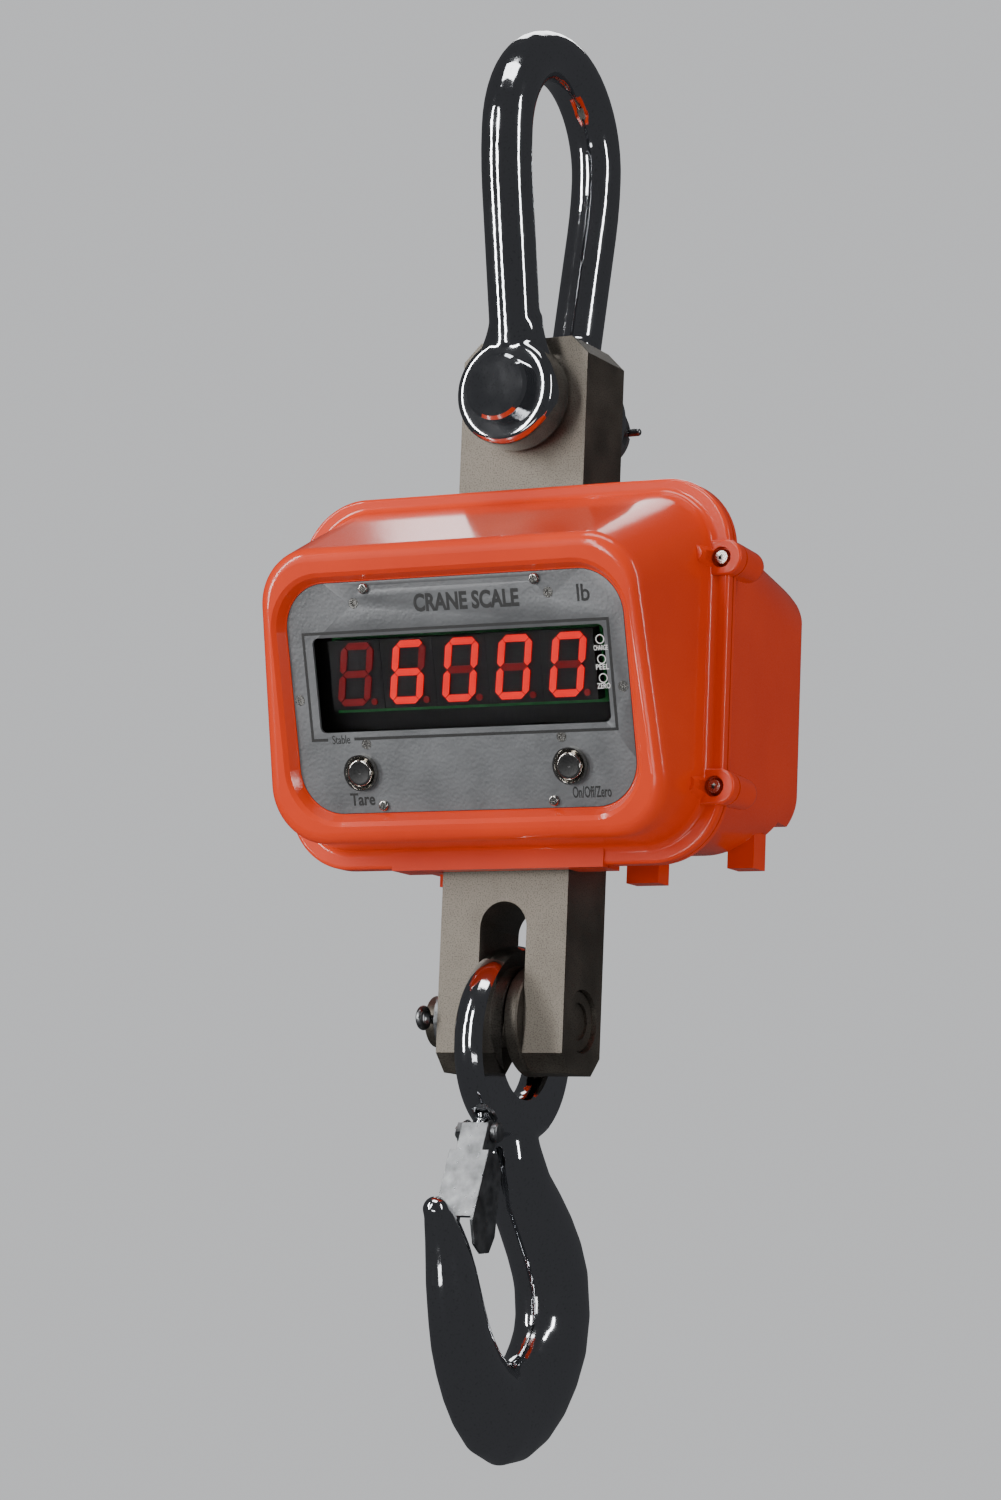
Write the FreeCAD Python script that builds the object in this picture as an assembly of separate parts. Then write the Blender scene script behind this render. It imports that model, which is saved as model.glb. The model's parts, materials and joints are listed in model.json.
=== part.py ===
import FreeCAD, Part
import math
import os

# Hanging crane scale, about 3 t class. Millimetres, +Z up.
# Origin: the seat inside the crown of the shackle bow, where a crane hook bears.
# X runs left to right across the display, Y runs from the display (-Y) to the battery door (+Y).

os.makedirs("parts", exist_ok=True)
V = FreeCAD.Vector

# --- driving dimensions -------------------------------------------------------------
# load path
SHACKLE_PIN_Z = -164.0
HOOK_PIN_Z = -466.0
BOW_BAR_R = 12.5
CROWN_BAR_R = 13.2
BOW_ARC_R = 48.5
BOW_SLOPE = 11.3
BOW_UPPER_BEND_R = 150.0
BOW_LOWER_BEND_R = 60.0
EAR_R = 26.5
EAR_THICK = 22.0
PIN_R = 12.5
RUNNING_GAP = 0.05
EAR_GAP = 0.4

# load cell: a machined steel link
CELL_HALF_X = 34.0
CELL_HALF_Y = 20.0
CELL_TOP = -134.0
CELL_BOTTOM = -491.5
CELL_CHAMFER = 9.0
SLOT_HALF_X = 12.5
SLOT_TOP_Z = -410.0
GAUGE_Z = -302.0
GAUGE_POCKET_R = 15.0

# housing
FLANGE_HALF_X = 117.0
FLANGE_TOP = -210.3
FLANGE_BOTTOM = -394.3
FLANGE_CORNER_R = 35.0
COVER_FRONT_Y = -28.8
COVER_BACK_Y = -24.0
GASKET_THICK = 0.8
HOUSING_FRONT_Y = COVER_BACK_Y + GASKET_THICK
HOUSING_FLANGE_BACK_Y = -18.8
HOUSING_BACK_Y = 106.0
HOUSING_LOW_BACK_Y = 89.0
HOUSING_STEP_Z = -360.0
WALL = 3.5
BOSS_X = 115.3
SCREW_X = 113.4
BOSS_R = 8.5
BOSS_PROUD = 1.7
BOSS_Z = (-250.5, -359.0)

# display panel, in its own frame: x across, y up the panel, z out of it
TILT = 16.13
PANEL_Y = -75.8
PANEL_Z = -312.1
RIM_PROUD = 6.0
PANEL_HALF_X = 89.8
PANEL_UP = 49.4
PANEL_DOWN = -61.4
PANEL_CORNER_R = 22.0
PANEL_THICK = 1.5
COVER_WALL = 3.0
WINDOW = (-76.6, 78.8, -22.3, 23.4)
DIGIT_PITCH = 28.4
DIGIT_FIRST_X = -57.3
DIGIT_HEIGHT = 30.3
DIGIT_WIDTH = 17.6
DIGIT_LOW = -10.3
SEGMENT_WIDTH = 3.4
DIGIT_SLANT = 10.0
BUTTON_X = 56.0
BUTTON_UP = -41.8

# hook, in the plane X = HOOK_X
HOOK_X = -2.0
EYE_OUTER_R = 48.0
EYE_INNER_R = 24.0
EYE_HALF_X = 9.5
LATCH_Y = -30.5
LATCH_Z = -521.0
LATCH_LEAN = 22.0


# --- helpers ------------------------------------------------------------------------
def save(name, shape):
    """Write one sub-part to its own STEP file."""
    shape.exportStep("parts/" + name + ".step")


def block(x0, x1, y0, y1, z0, z1):
    return Part.makeBox(x1 - x0, y1 - y0, z1 - z0, V(x0, y0, z0))


def rod(start, axis, radius, length):
    return Part.makeCylinder(radius, length, V(*start), V(*axis))


def cone(start, axis, r_start, r_end, length):
    return Part.makeCone(r_start, r_end, length, V(*start), V(*axis))


def ring(start, axis, r_in, r_out, length):
    return rod(start, axis, r_out, length).cut(rod(start, axis, r_in, length))


def group(shapes):
    """Several separate solids that share one node."""
    return Part.makeCompound(list(shapes))


def rounded_loop(corners, radii):
    """A closed flat wire through the corners, each rounded by its radius."""
    count = len(corners)
    edges = []
    joints = []
    for i in range(count):
        here = corners[i]
        to_last = (corners[i - 1] - here).normalize()
        to_next = (corners[(i + 1) % count] - here).normalize()
        half = to_last.getAngle(to_next) / 2
        reach = radii[i] / math.tan(half)
        middle = (to_last + to_next).normalize()
        crown = here + middle * (radii[i] / math.sin(half) - radii[i])
        joints.append((here + to_last * reach, crown, here + to_next * reach))
    for i in range(count):
        first, crown, last = joints[i]
        edges.append(Part.Arc(first, crown, last).toShape())
        edges.append(Part.LineSegment(last, joints[(i + 1) % count][0]).toShape())
    return Part.Wire(edges)


def rounded_rect(x0, x1, z0, z1, radius, y):
    """A rounded rectangle in the plane at y, seen from the front."""
    corners = [V(x0, y, z0), V(x1, y, z0), V(x1, y, z1), V(x0, y, z1)]
    return rounded_loop(corners, [radius] * 4)


def plate(wire, direction):
    return Part.Face(wire).extrude(direction)


def hexagon(start, axis, across_flats, length):
    """A hexagonal prism along X, Y or Z."""
    circle_r = across_flats / math.sqrt(3)
    turn = FreeCAD.Rotation(V(0, 0, 1), V(*axis))
    points = []
    for i in range(7):
        angle = math.radians(60 * i + 30)
        points.append(V(circle_r * math.cos(angle), circle_r * math.sin(angle), 0))
    prism = Part.Face(Part.makePolygon(points)).extrude(V(0, 0, length))
    prism.Placement = FreeCAD.Placement(V(*start), turn)
    return prism


PANEL_PLACE = FreeCAD.Placement(V(0, PANEL_Y, PANEL_Z), FreeCAD.Rotation(V(1, 0, 0), 90 + TILT))


def on_panel(shape):
    """Move a shape from the panel's own frame into the object's frame."""
    moved = shape.copy()
    moved.Placement = PANEL_PLACE.multiply(moved.Placement)
    return moved


def panel_loop(x_low, x_high, up_low, up_high, radius, out):
    """A rounded outline in the panel's frame; x_low and x_high are the half widths."""
    corners = [V(-x_low, up_low, out), V(x_low, up_low, out)]
    corners += [V(x_high, up_high, out), V(-x_high, up_high, out)]
    return rounded_loop(corners, [radius] * 4)


def panel_block(x0, x1, up0, up1, out0, out1):
    return block(x0, x1, up0, up1, out0, out1)


def panel_rod(x, up, out0, out1, radius):
    return rod((x, up, out0), (0, 0, 1), radius, out1 - out0)


# --- shackle ------------------------------------------------------------------------
def bow_path():
    """Centreline of the bow in the plane X = 0, from the front ear over the crown to the rear ear."""
    lean = math.radians(BOW_SLOPE)
    crown_z = CROWN_BAR_R
    arc_z = crown_z - BOW_ARC_R
    ear_y = CELL_HALF_Y + EAR_GAP + EAR_THICK / 2

    def upper(angle):
        y = BOW_ARC_R - BOW_UPPER_BEND_R * (1 - math.cos(angle))
        return V(0, y, arc_z - BOW_UPPER_BEND_R * math.sin(angle))

    top_end = upper(lean)
    low_start_y = ear_y + BOW_LOWER_BEND_R * (1 - math.cos(lean))
    low_start_z = top_end.z - (top_end.y - low_start_y) / math.tan(lean)
    low_end_z = low_start_z - BOW_LOWER_BEND_R * math.sin(lean)

    def lower(angle):
        back = lean - angle
        y = ear_y + BOW_LOWER_BEND_R * (1 - math.cos(back))
        return V(0, y, low_end_z + BOW_LOWER_BEND_R * math.sin(back))

    right = [
        Part.Arc(upper(0), upper(lean / 2), top_end).toShape(),
        Part.LineSegment(top_end, lower(0)).toShape(),
        Part.Arc(lower(0), lower(lean / 2), lower(lean)).toShape(),
        Part.LineSegment(lower(lean), V(0, ear_y, SHACKLE_PIN_Z)).toShape(),
    ]
    left = [edge.mirror(V(0, 0, 0), V(0, 1, 0)) for edge in right]
    crown = Part.Arc(V(0, -BOW_ARC_R, arc_z), V(0, 0, crown_z), V(0, BOW_ARC_R, arc_z)).toShape()
    return Part.Wire(Part.__sortEdges__(left + [crown] + right))


EAR_OUT_Y = CELL_HALF_Y + EAR_GAP + EAR_THICK
HEAD_R = 16.5
HEAD_THICK = 8.0
NUT_THICK = 20.0
WASHER_R = 21.0
WASHER_THICK = 3.0
SPLIT_R = 2.0


def make_bow():
    path = bow_path()
    ear_y = CELL_HALF_Y + EAR_GAP + EAR_THICK / 2
    section = Part.Wire(Part.makeCircle(BOW_BAR_R, V(0, -ear_y, SHACKLE_PIN_Z), V(0, 0, 1)))
    bow = path.makePipeShell([section], True, False)
    inner = CELL_HALF_Y + EAR_GAP
    clear_z = CELL_TOP + 12
    bow = bow.cut(block(-30, 30, -inner, inner, SHACKLE_PIN_Z - 40, clear_z))
    for side in (-1, 1):
        start = (0, side * inner, SHACKLE_PIN_Z)
        ear = rod(start, (0, side, 0), EAR_R, EAR_THICK)
        ear = ear.makeFillet(3.0, ear.Edges[:1] + ear.Edges[2:3])
        bow = bow.fuse(ear)
        bow = bow.cut(rod((0, side * EAR_OUT_Y, SHACKLE_PIN_Z), (0, side, 0), WASHER_R + 1, 10))
    hole = rod((0, -60, SHACKLE_PIN_Z), (0, 1, 0), PIN_R + 0.3, 120)
    return bow.cut(hole).removeSplitter()


def make_shackle_pin():
    front = -EAR_OUT_Y
    length = 2 * EAR_OUT_Y + WASHER_THICK + NUT_THICK + 3
    shank = rod((0, front, SHACKLE_PIN_Z), (0, 1, 0), PIN_R, length)
    shank = shank.makeChamfer(1.0, [max(shank.Edges, key=lambda e: e.BoundBox.YMin)])
    head = rod((0, front - HEAD_THICK, SHACKLE_PIN_Z), (0, 1, 0), HEAD_R, HEAD_THICK)
    head = head.makeChamfer(1.6, [min(head.Edges, key=lambda e: e.BoundBox.YMax)])
    split_y = EAR_OUT_Y + WASHER_THICK + NUT_THICK - 4
    hole = rod((-20, split_y, SHACKLE_PIN_Z), (1, 0, 0), SPLIT_R + 0.2, 40)
    return shank.fuse(head).removeSplitter().cut(hole)


def make_shackle_nut():
    y = EAR_OUT_Y + WASHER_THICK
    nut = hexagon((0, y, SHACKLE_PIN_Z), (0, 1, 0), 36, NUT_THICK)
    nut = nut.common(cone((0, y - 12, SHACKLE_PIN_Z), (0, 1, 0), 27, 16, NUT_THICK + 12))
    nut = nut.cut(rod((0, y - 1, SHACKLE_PIN_Z), (0, 1, 0), PIN_R + 0.05, NUT_THICK + 2))
    for i in range(3):
        slot = block(-30, 30, y + NUT_THICK - 7, y + NUT_THICK + 1, SHACKLE_PIN_Z - 2.3, SHACKLE_PIN_Z + 2.3)
        slot.rotate(V(0, y, SHACKLE_PIN_Z), V(0, 1, 0), 60 * i)
        nut = nut.cut(slot)
    return nut


def split_pin(centre, axis, side, radius, length):
    """A split pin: a straight shank along axis with a loop at one end and a bent leg at the other."""
    start = V(*centre) - V(*axis) * (length / 2)
    shank = Part.makeCylinder(radius, length, start, V(*axis))
    loop = Part.makeTorus(radius * 2.1, radius * 0.9, start - V(*axis) * (radius * 2.4), V(*side))
    tail = Part.makeSphere(radius, start + V(*axis) * length)
    return shank.fuse(loop).fuse(tail)


# --- load cell ----------------------------------------------------------------------
GLAND_Z = -262.0


def make_load_cell():
    cell = block(-CELL_HALF_X, CELL_HALF_X, -CELL_HALF_Y, CELL_HALF_Y, CELL_BOTTOM, CELL_TOP)
    edges = []
    for edge in cell.Edges:
        box = edge.BoundBox
        low_across = box.ZMax < CELL_BOTTOM + 1 and box.XLength > 10
        top_deep = box.ZMin > CELL_TOP - 1 and box.YLength > 10
        if low_across or top_deep:
            edges.append(edge)
    cell = cell.makeChamfer(CELL_CHAMFER, edges)
    pin_hole = rod((0, -30, SHACKLE_PIN_Z), (0, 1, 0), PIN_R + RUNNING_GAP, 60)
    slot_round_z = SLOT_TOP_Z - SLOT_HALF_X
    slot = block(-SLOT_HALF_X, SLOT_HALF_X, -30, 30, CELL_BOTTOM - 1, slot_round_z)
    slot = slot.fuse(rod((0, -30, slot_round_z), (0, 1, 0), SLOT_HALF_X, 60))
    hook_hole = rod((-50, 0, HOOK_PIN_Z), (1, 0, 0), PIN_R + RUNNING_GAP, 100)
    counterbore = rod((CELL_HALF_X - 8, 0, HOOK_PIN_Z), (1, 0, 0), 15.3, 9)
    cell = cell.cut(pin_hole).cut(slot).cut(hook_hole).cut(counterbore)
    for side in (-1, 1):
        face_y = side * CELL_HALF_Y
        pocket = rod((0, face_y, GAUGE_Z), (0, -side, 0), GAUGE_POCKET_R, 13)
        seat = rod((0, face_y, GAUGE_Z), (0, -side, 0), GAUGE_POCKET_R + 3, 1.5)
        cell = cell.cut(pocket).cut(seat)
    gland_hole = rod((0, -CELL_HALF_Y, GLAND_Z), (0, 1, 0), 4.0, 14)
    wire_way = rod((0, -CELL_HALF_Y + 10, GLAND_Z), (0, 0, -1), 2.5, GLAND_Z - GAUGE_Z - GAUGE_POCKET_R + 2)
    cell = cell.cut(gland_hole).cut(wire_way)
    for hole in bracket_screw_places():
        side = 1 if hole[0] > 0 else -1
        cell = cell.cut(rod((side * CELL_HALF_X, hole[1], hole[2]), (-side, 0, 0), 2.6, 12))
    return cell


def bracket_screw_places():
    """Points on the two side faces of the load cell where the brackets are screwed."""
    places = []
    for side in (-1, 1):
        for dz in (-12, 12):
            places.append((side * CELL_HALF_X, 0, GAUGE_Z + dz))
    return places


# --- housing ------------------------------------------------------------------------
SIDE_DRAFT = 0.07
TOP_DRAFT = 0.09
BODY_HALF_X = 108.0
BODY_TOP = -218.5
BODY_BOTTOM = -386.5
BODY_CORNER_R = 30.0
BODY_BACK_CORNER_R = 42.0
TOP_BACK_R = 26.0
LOW_BACK_R = 22.0
SIDE_BACK_R = 11.0
OPENING_GAP = 1.5
DOOR_Z = -309.0
DOOR_HALF_X = 60.0
DOOR_HALF_Z = 43.0
DOOR_OPENING_HALF_X = 53.0
DOOR_OPENING_HALF_Z = 36.5
DOOR_GASKET = 1.5
DOOR_THICK = 4.0
SOCKET_X = 76.0
SOCKET_Z = -340.0


def body_size(y, inset):
    """Half width, top and bottom of the drafted housing body at depth y."""
    depth = y - HOUSING_FLANGE_BACK_Y
    half_x = BODY_HALF_X - SIDE_DRAFT * depth - inset
    top = BODY_TOP - TOP_DRAFT * depth - inset
    bottom = BODY_BOTTOM + TOP_DRAFT * depth + inset
    return half_x, top, bottom


def corner_cutter(y, z, z_far, radius, inset_back):
    """What a rounded back edge running along X takes off a square corner."""
    z_low, z_high = sorted((z, z_far))
    square = block(-130, 130, y, inset_back + 1, z_low, z_high)
    return square.cut(rod((-131, y, z), (1, 0, 0), radius, 262))


def make_housing_body(inset, front):
    """Solid body of the rear housing, drawn in by inset on every wall."""
    loops = []
    for y in (front, 120.0):
        half_x, top, bottom = body_size(y, inset)
        corner_r = BODY_CORNER_R if y == front else BODY_BACK_CORNER_R
        loops.append(rounded_rect(-half_x, half_x, bottom, top, corner_r - inset, y))
    body = Part.makeLoft(loops, True, True)
    back = HOUSING_BACK_Y - inset
    low_back = HOUSING_LOW_BACK_Y - inset
    step_z = HOUSING_STEP_Z + inset
    half_x, top = body_size(HOUSING_BACK_Y, inset)[:2]
    bottom = body_size(HOUSING_LOW_BACK_Y, inset)[2]
    top_r = TOP_BACK_R - inset
    low_r = LOW_BACK_R - inset
    side_r = SIDE_BACK_R - inset
    upper = block(-130, 130, -60, back, step_z, -150)
    upper = upper.cut(corner_cutter(back - top_r, top - top_r, -150, top_r, back))
    lower = block(-130, 130, -60, low_back, -420, step_z)
    lower = lower.cut(corner_cutter(low_back - low_r, bottom + low_r, -420, low_r, low_back))
    body = body.common(upper.fuse(lower))
    for side in (-1, 1):
        centre_x = side * (half_x - side_r)
        x_low, x_high = sorted((centre_x, side * 130))
        edge = block(x_low, x_high, back - side_r, back + 1, -400, -150)
        body = body.cut(edge.cut(rod((centre_x, back - side_r, -401), (0, 0, 1), side_r, 260)))
    return body


def flange_loop(y):
    return rounded_rect(-FLANGE_HALF_X, FLANGE_HALF_X, FLANGE_BOTTOM, FLANGE_TOP, FLANGE_CORNER_R, y)


def boss_places():
    return [(side * BOSS_X, z) for side in (-1, 1) for z in BOSS_Z]


def screw_places():
    return [(side * SCREW_X, z) for side in (-1, 1) for z in BOSS_Z]


def cell_opening():
    half_x = CELL_HALF_X + OPENING_GAP
    half_y = CELL_HALF_Y + OPENING_GAP
    return block(-half_x, half_x, -half_y, half_y, -430, -180)


RIB_HALF_X = 57.0
FEET = [(43, 60, 24, 36, -397.0), (76, 90, 68, 82, -385.0)]
FOOT_HEIGHT = 18.0
POST_R = 4.0
TRAY_Z = -346.5
TRAY_POSTS = [(x, y) for x in (-42, 42) for y in (60, 80)]
LUG_Y = 14.2
BRACKET_THICK = 3.0
BRACKET_HALF_Z = 20.0


def make_rear_housing():
    shell = make_housing_body(0, HOUSING_FLANGE_BACK_Y - 0.5)
    flange = plate(flange_loop(HOUSING_FRONT_Y), V(0, HOUSING_FLANGE_BACK_Y - HOUSING_FRONT_Y, 0))
    flange = flange.makeFillet(FLANGE_FILLET, edges_at_y(flange, HOUSING_FLANGE_BACK_Y))
    shell = shell.fuse(flange).removeSplitter()
    root_edges = []
    for edge in edges_at_y(shell, HOUSING_FLANGE_BACK_Y):
        box = edge.BoundBox
        reach = max(abs(box.XMin), abs(box.XMax))
        if reach < BODY_HALF_X + 0.1 and box.ZMin > BODY_BOTTOM - 0.1 and box.ZMax < BODY_TOP + 0.1:
            root_edges.append(edge)
    shell = shell.makeFillet(FOOT_FILLET, root_edges)
    for x, z in boss_places():
        shell = shell.fuse(cone((x, HOUSING_FRONT_Y, z), (0, 1, 0), BOSS_R, BOSS_R - 0.8, 19))
        shell = shell.fuse(Part.makeSphere(BOSS_R - 0.8, V(x, HOUSING_FRONT_Y + 19, z)))
    for side in (-1, 1):
        for x_in, x_out, y_front, y_back, z_low in FEET:
            x_low, x_high = sorted((side * x_in, side * x_out))
            shell = shell.fuse(block(x_low, x_high, y_front, y_back, z_low, z_low + FOOT_HEIGHT))
    shell = shell.fuse(block(-RIB_HALF_X, RIB_HALF_X, HOUSING_FRONT_Y, -12, FLANGE_BOTTOM - 1.2, -384))
    cavity = make_housing_body(WALL, HOUSING_FRONT_Y - 1)
    # collars round the two openings for the load cell, and inner lugs and posts
    inside = []
    for z in (BODY_TOP - 13, BODY_BOTTOM + 3):
        inside.append(block(-44, 44, HOUSING_FRONT_Y, 30, z, z + 10))
    for side in (-1, 1):
        x_low, x_high = sorted((side * 84, side * 107))
        z_low = GAUGE_Z - BRACKET_HALF_Z
        z_high = GAUGE_Z + BRACKET_HALF_Z
        inside.append(block(x_low, x_high, LUG_Y, LUG_Y + 14, z_low, z_high))
    for x, y in TRAY_POSTS:
        inside.append(rod((x, y, -384), (0, 0, 1), POST_R, TRAY_Z + 384))
    fill = inside[0].fuse(inside[1:]).common(make_housing_body(1.0, HOUSING_FRONT_Y))
    shell = shell.cut(cavity).fuse(fill).cut(cell_opening())
    for x, z in screw_places():
        shell = shell.cut(rod((x, HOUSING_FRONT_Y - 1, z), (0, 1, 0), 2.1, 16))
    for x, y in TRAY_POSTS:
        shell = shell.cut(rod((x, y, TRAY_Z + 1), (0, 0, -1), 1.6, 10))
    for x, z in bracket_lug_screws():
        shell = shell.cut(rod((x, LUG_Y - 1, z), (0, 1, 0), 2.1, 12))
    door_loop = rounded_rect(-DOOR_OPENING_HALF_X, DOOR_OPENING_HALF_X, DOOR_Z - DOOR_OPENING_HALF_Z,
                             DOOR_Z + DOOR_OPENING_HALF_Z, 5.0, HOUSING_BACK_Y - 10)
    shell = shell.cut(plate(door_loop, V(0, 20, 0)))
    for x, z in door_screw_places():
        shell = shell.cut(rod((x, HOUSING_BACK_Y + 1, z), (0, -1, 0), 1.7, 8))
    shell = shell.cut(rod((SOCKET_X, HOUSING_BACK_Y - 10, SOCKET_Z), (0, 1, 0), 5.6, 20))
    return shell.removeSplitter()


def bracket_lug_screws():
    return [(side * 92, GAUGE_Z + dz) for side in (-1, 1) for dz in (-11, 11)]


def door_screw_places():
    reach_x = (DOOR_HALF_X + DOOR_OPENING_HALF_X) / 2
    reach_z = DOOR_HALF_Z - 3.5
    return [(sx * reach_x, DOOR_Z + sz * reach_z) for sx in (-1, 1) for sz in (-1, 1)]


RIM_UP = 66.0
RIM_DOWN = -74.5
RIM_TOP_X = 99.5
RIM_LOW_X = 107.0
RIM_CORNER_R = 28.0
RIM_FILLET = 6.5
RECESS_INNER_GAP = 3.0
RECESS_OUTER_GAP = 5.8
MOUTH_DEPTH = 1.8
FLANGE_FILLET = 1.8
FOOT_FILLET = 3.5
BOSS_FILLET = 1.2
NOSE_WIDE_X = 101.4
NOSE_SLIM_X = 105.4
NOSE_SLIM_R = 3.8
NOSE_LENGTH = 14.0
HOOD_HALF_X = 108.5
HOOD_TOP = -217.0
HOOD_BOTTOM = -385.4
CARRIER_POSTS = [(sx * 85.0, su * 31.0) for sx in (-1, 1) for su in (-1, 1)]
CARRIER_OUT = -17.5
CARRIER_THICK = 2.5
PAN_SCREWS = [(sx * 45.6, up) for sx in (-1, 1) for up in (46.0, -58.0)]
FLAT_SCREWS = [(sx * x, up) for sx in (-1, 1) for x, up in ((52.0, 39.2), (52.2, -28.3), (86.4, -6.0))]
BUTTONS = {"tare": (-BUTTON_X, BUTTON_UP), "power": (BUTTON_X, BUTTON_UP)}
LENS = (-81.0, 82.0, -25.5, 26.5)


def panel_outline(grow, out):
    return panel_loop(PANEL_HALF_X + grow, PANEL_HALF_X + grow, PANEL_DOWN - grow, PANEL_UP + grow,
                      PANEL_CORNER_R + grow, out)


def window_block(window, out0, out1, grow):
    x0, x1, up0, up1 = window
    corners = [V(x0 - grow, up0 - grow, out0), V(x1 + grow, up0 - grow, out0),
               V(x1 + grow, up1 + grow, out0), V(x0 - grow, up1 + grow, out0)]
    return plate(rounded_loop(corners, [3.0] * 4), V(0, 0, out1 - out0))


def edges_at_y(shape, y):
    """Edges that lie wholly in the plane at depth y."""
    return [e for e in shape.Edges if abs(e.BoundBox.YMin - y) < 0.01 and abs(e.BoundBox.YMax - y) < 0.01]


def rim_rounder():
    """What the soft inner edge of the rim takes off the mouth of the recess."""
    inner = panel_outline(RECESS_INNER_GAP, RIM_PROUD - MOUTH_DEPTH)
    outer = panel_outline(RECESS_OUTER_GAP, RIM_PROUD + 0.1)
    return Part.makeLoft([inner, outer], True, True)


def make_front_cover():
    base = rounded_rect(-HOOD_HALF_X, HOOD_HALF_X, HOOD_BOTTOM, HOOD_TOP, BODY_CORNER_R, COVER_FRONT_Y)
    rim = panel_loop(RIM_LOW_X, RIM_TOP_X, RIM_DOWN, RIM_UP, RIM_CORNER_R, RIM_PROUD)
    rim.Placement = PANEL_PLACE
    hood = Part.makeLoft([base, rim], True, True)
    rim_edges = []
    for edge in hood.Edges:
        local = PANEL_PLACE.inverse().multVec(edge.CenterOfMass)
        if abs(local.z - RIM_PROUD) < 0.5:
            rim_edges.append(edge)
    hood = hood.makeFillet(RIM_FILLET, rim_edges)
    flange = plate(flange_loop(COVER_FRONT_Y), V(0, COVER_BACK_Y - COVER_FRONT_Y, 0))
    flange = flange.makeFillet(FLANGE_FILLET, edges_at_y(flange, COVER_FRONT_Y))
    cover = hood.fuse(flange).removeSplitter()
    foot_edges = []
    for edge in edges_at_y(cover, COVER_FRONT_Y):
        box = edge.BoundBox
        reach = max(abs(box.XMin), abs(box.XMax))
        if reach < HOOD_HALF_X + 0.1 and box.ZMin > HOOD_BOTTOM - 0.1 and box.ZMax < HOOD_TOP + 0.1:
            foot_edges.append(edge)
    cover = cover.makeFillet(FOOT_FILLET, foot_edges)
    rib_front = COVER_FRONT_Y - 0.8
    rib_low = FLANGE_BOTTOM - 1.2
    cover = cover.fuse(block(-RIB_HALF_X, RIB_HALF_X, rib_front, COVER_BACK_Y, rib_low, HOOD_BOTTOM))
    for x, z in boss_places():
        side = 1 if x > 0 else -1
        boss_front = COVER_FRONT_Y - BOSS_PROUD
        x_low, x_high = sorted((side * (HOOD_HALF_X - WALL), x))
        boss = rod((x, boss_front, z), (0, 1, 0), BOSS_R, COVER_BACK_Y - boss_front)
        tongue = block(x_low, x_high, boss_front, COVER_BACK_Y, z - BOSS_R, z + BOSS_R)
        boss = boss.fuse(tongue).removeSplitter()
        cover = cover.fuse(boss.makeFillet(BOSS_FILLET, edges_at_y(boss, boss_front)))
        wide_at = V(side * NOSE_WIDE_X, COVER_FRONT_Y, z)
        wide = Part.Wire(Part.makeCircle(BOSS_R, wide_at, V(0, 1, 0)))
        slim_at = V(side * NOSE_SLIM_X, COVER_FRONT_Y - NOSE_LENGTH, z)
        slim = Part.Wire(Part.makeCircle(NOSE_SLIM_R, slim_at, V(0, 1, 0)))
        cover = cover.fuse(Part.makeLoft([slim, wide], True, True))
    inner_base = rounded_rect(-HOOD_HALF_X + WALL, HOOD_HALF_X - WALL, HOOD_BOTTOM + WALL, HOOD_TOP - WALL,
                              BODY_CORNER_R - WALL, COVER_BACK_Y + 1)
    inner_rim = panel_loop(104.0, 97.0, -73.5, 63.5, 24.0, -PANEL_THICK - COVER_WALL)
    inner_rim.Placement = PANEL_PLACE
    cover = cover.cut(Part.makeLoft([inner_base, inner_rim], True, True))
    # recess for the panel, flared towards the rim
    seat = plate(panel_outline(0.3, -PANEL_THICK), V(0, 0, PANEL_THICK + 0.1))
    flare = Part.makeLoft([panel_outline(0.8, 0.0), panel_outline(4.4, RIM_PROUD + 0.1)], True, True)
    recess = seat.fuse(flare)
    rounder = rim_rounder()
    post_low = CARRIER_OUT + CARRIER_THICK
    post_high = -PANEL_THICK - COVER_WALL + 0.5
    posts = [panel_rod(x, up, post_low, post_high, 3.6) for x, up in CARRIER_POSTS]
    cover = cover.cut(on_panel(recess)).cut(on_panel(rounder))
    cover = cover.fuse([on_panel(post) for post in posts])
    holes = [window_block(LENS, -6, 0, 0.1)]
    for x, up in PAN_SCREWS + FLAT_SCREWS:
        holes.append(panel_rod(x, up, -8, 0, 1.3))
    for x, up in BUTTONS.values():
        holes.append(panel_rod(x, up, -8, 0, 7.3))
    for x, up in CARRIER_POSTS:
        holes.append(panel_rod(x, up, CARRIER_OUT + CARRIER_THICK - 1, -8, 1.3))
    cover = cover.cut([on_panel(hole) for hole in holes])
    for x, z in screw_places():
        cover = cover.cut(rod((x, COVER_FRONT_Y - 9, z), (0, 1, 0), 5.0, 10.2))
        cover = cover.cut(rod((x, COVER_FRONT_Y - 9, z), (0, 1, 0), 2.7, 20))
    return cover.removeSplitter()


def make_cover_gasket():
    outer = plate(rounded_rect(-110.5, 110.5, -390.3, -214.3, 31.5, COVER_BACK_Y), V(0, GASKET_THICK, 0))
    inner = plate(rounded_rect(-107, 107, -385.3, -219.3, 27.0, COVER_BACK_Y - 1), V(0, GASKET_THICK + 2, 0))
    return outer.cut(inner)


def button_head_screw(place, axis, head_r, head_len, shank_r, length):
    """A socket button-head screw; place is under the head, axis points into the work."""
    back = V(*axis) * -1
    head = cone(place, (back.x, back.y, back.z), head_r, head_r * 0.72, head_len)
    shank = rod(place, axis, shank_r, length)
    top = V(*place) + back * head_len
    socket = hexagon((top.x, top.y, top.z), axis, shank_r * 1.25, head_len * 0.6)
    return head.fuse(shank).cut(socket)


def make_cover_screws():
    screws = []
    for x, z in screw_places():
        screws.append(button_head_screw((x, COVER_FRONT_Y + 1.2, z), (0, 1, 0), 4.3, 2.6, 2.0, 16))
    return group(screws)


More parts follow.
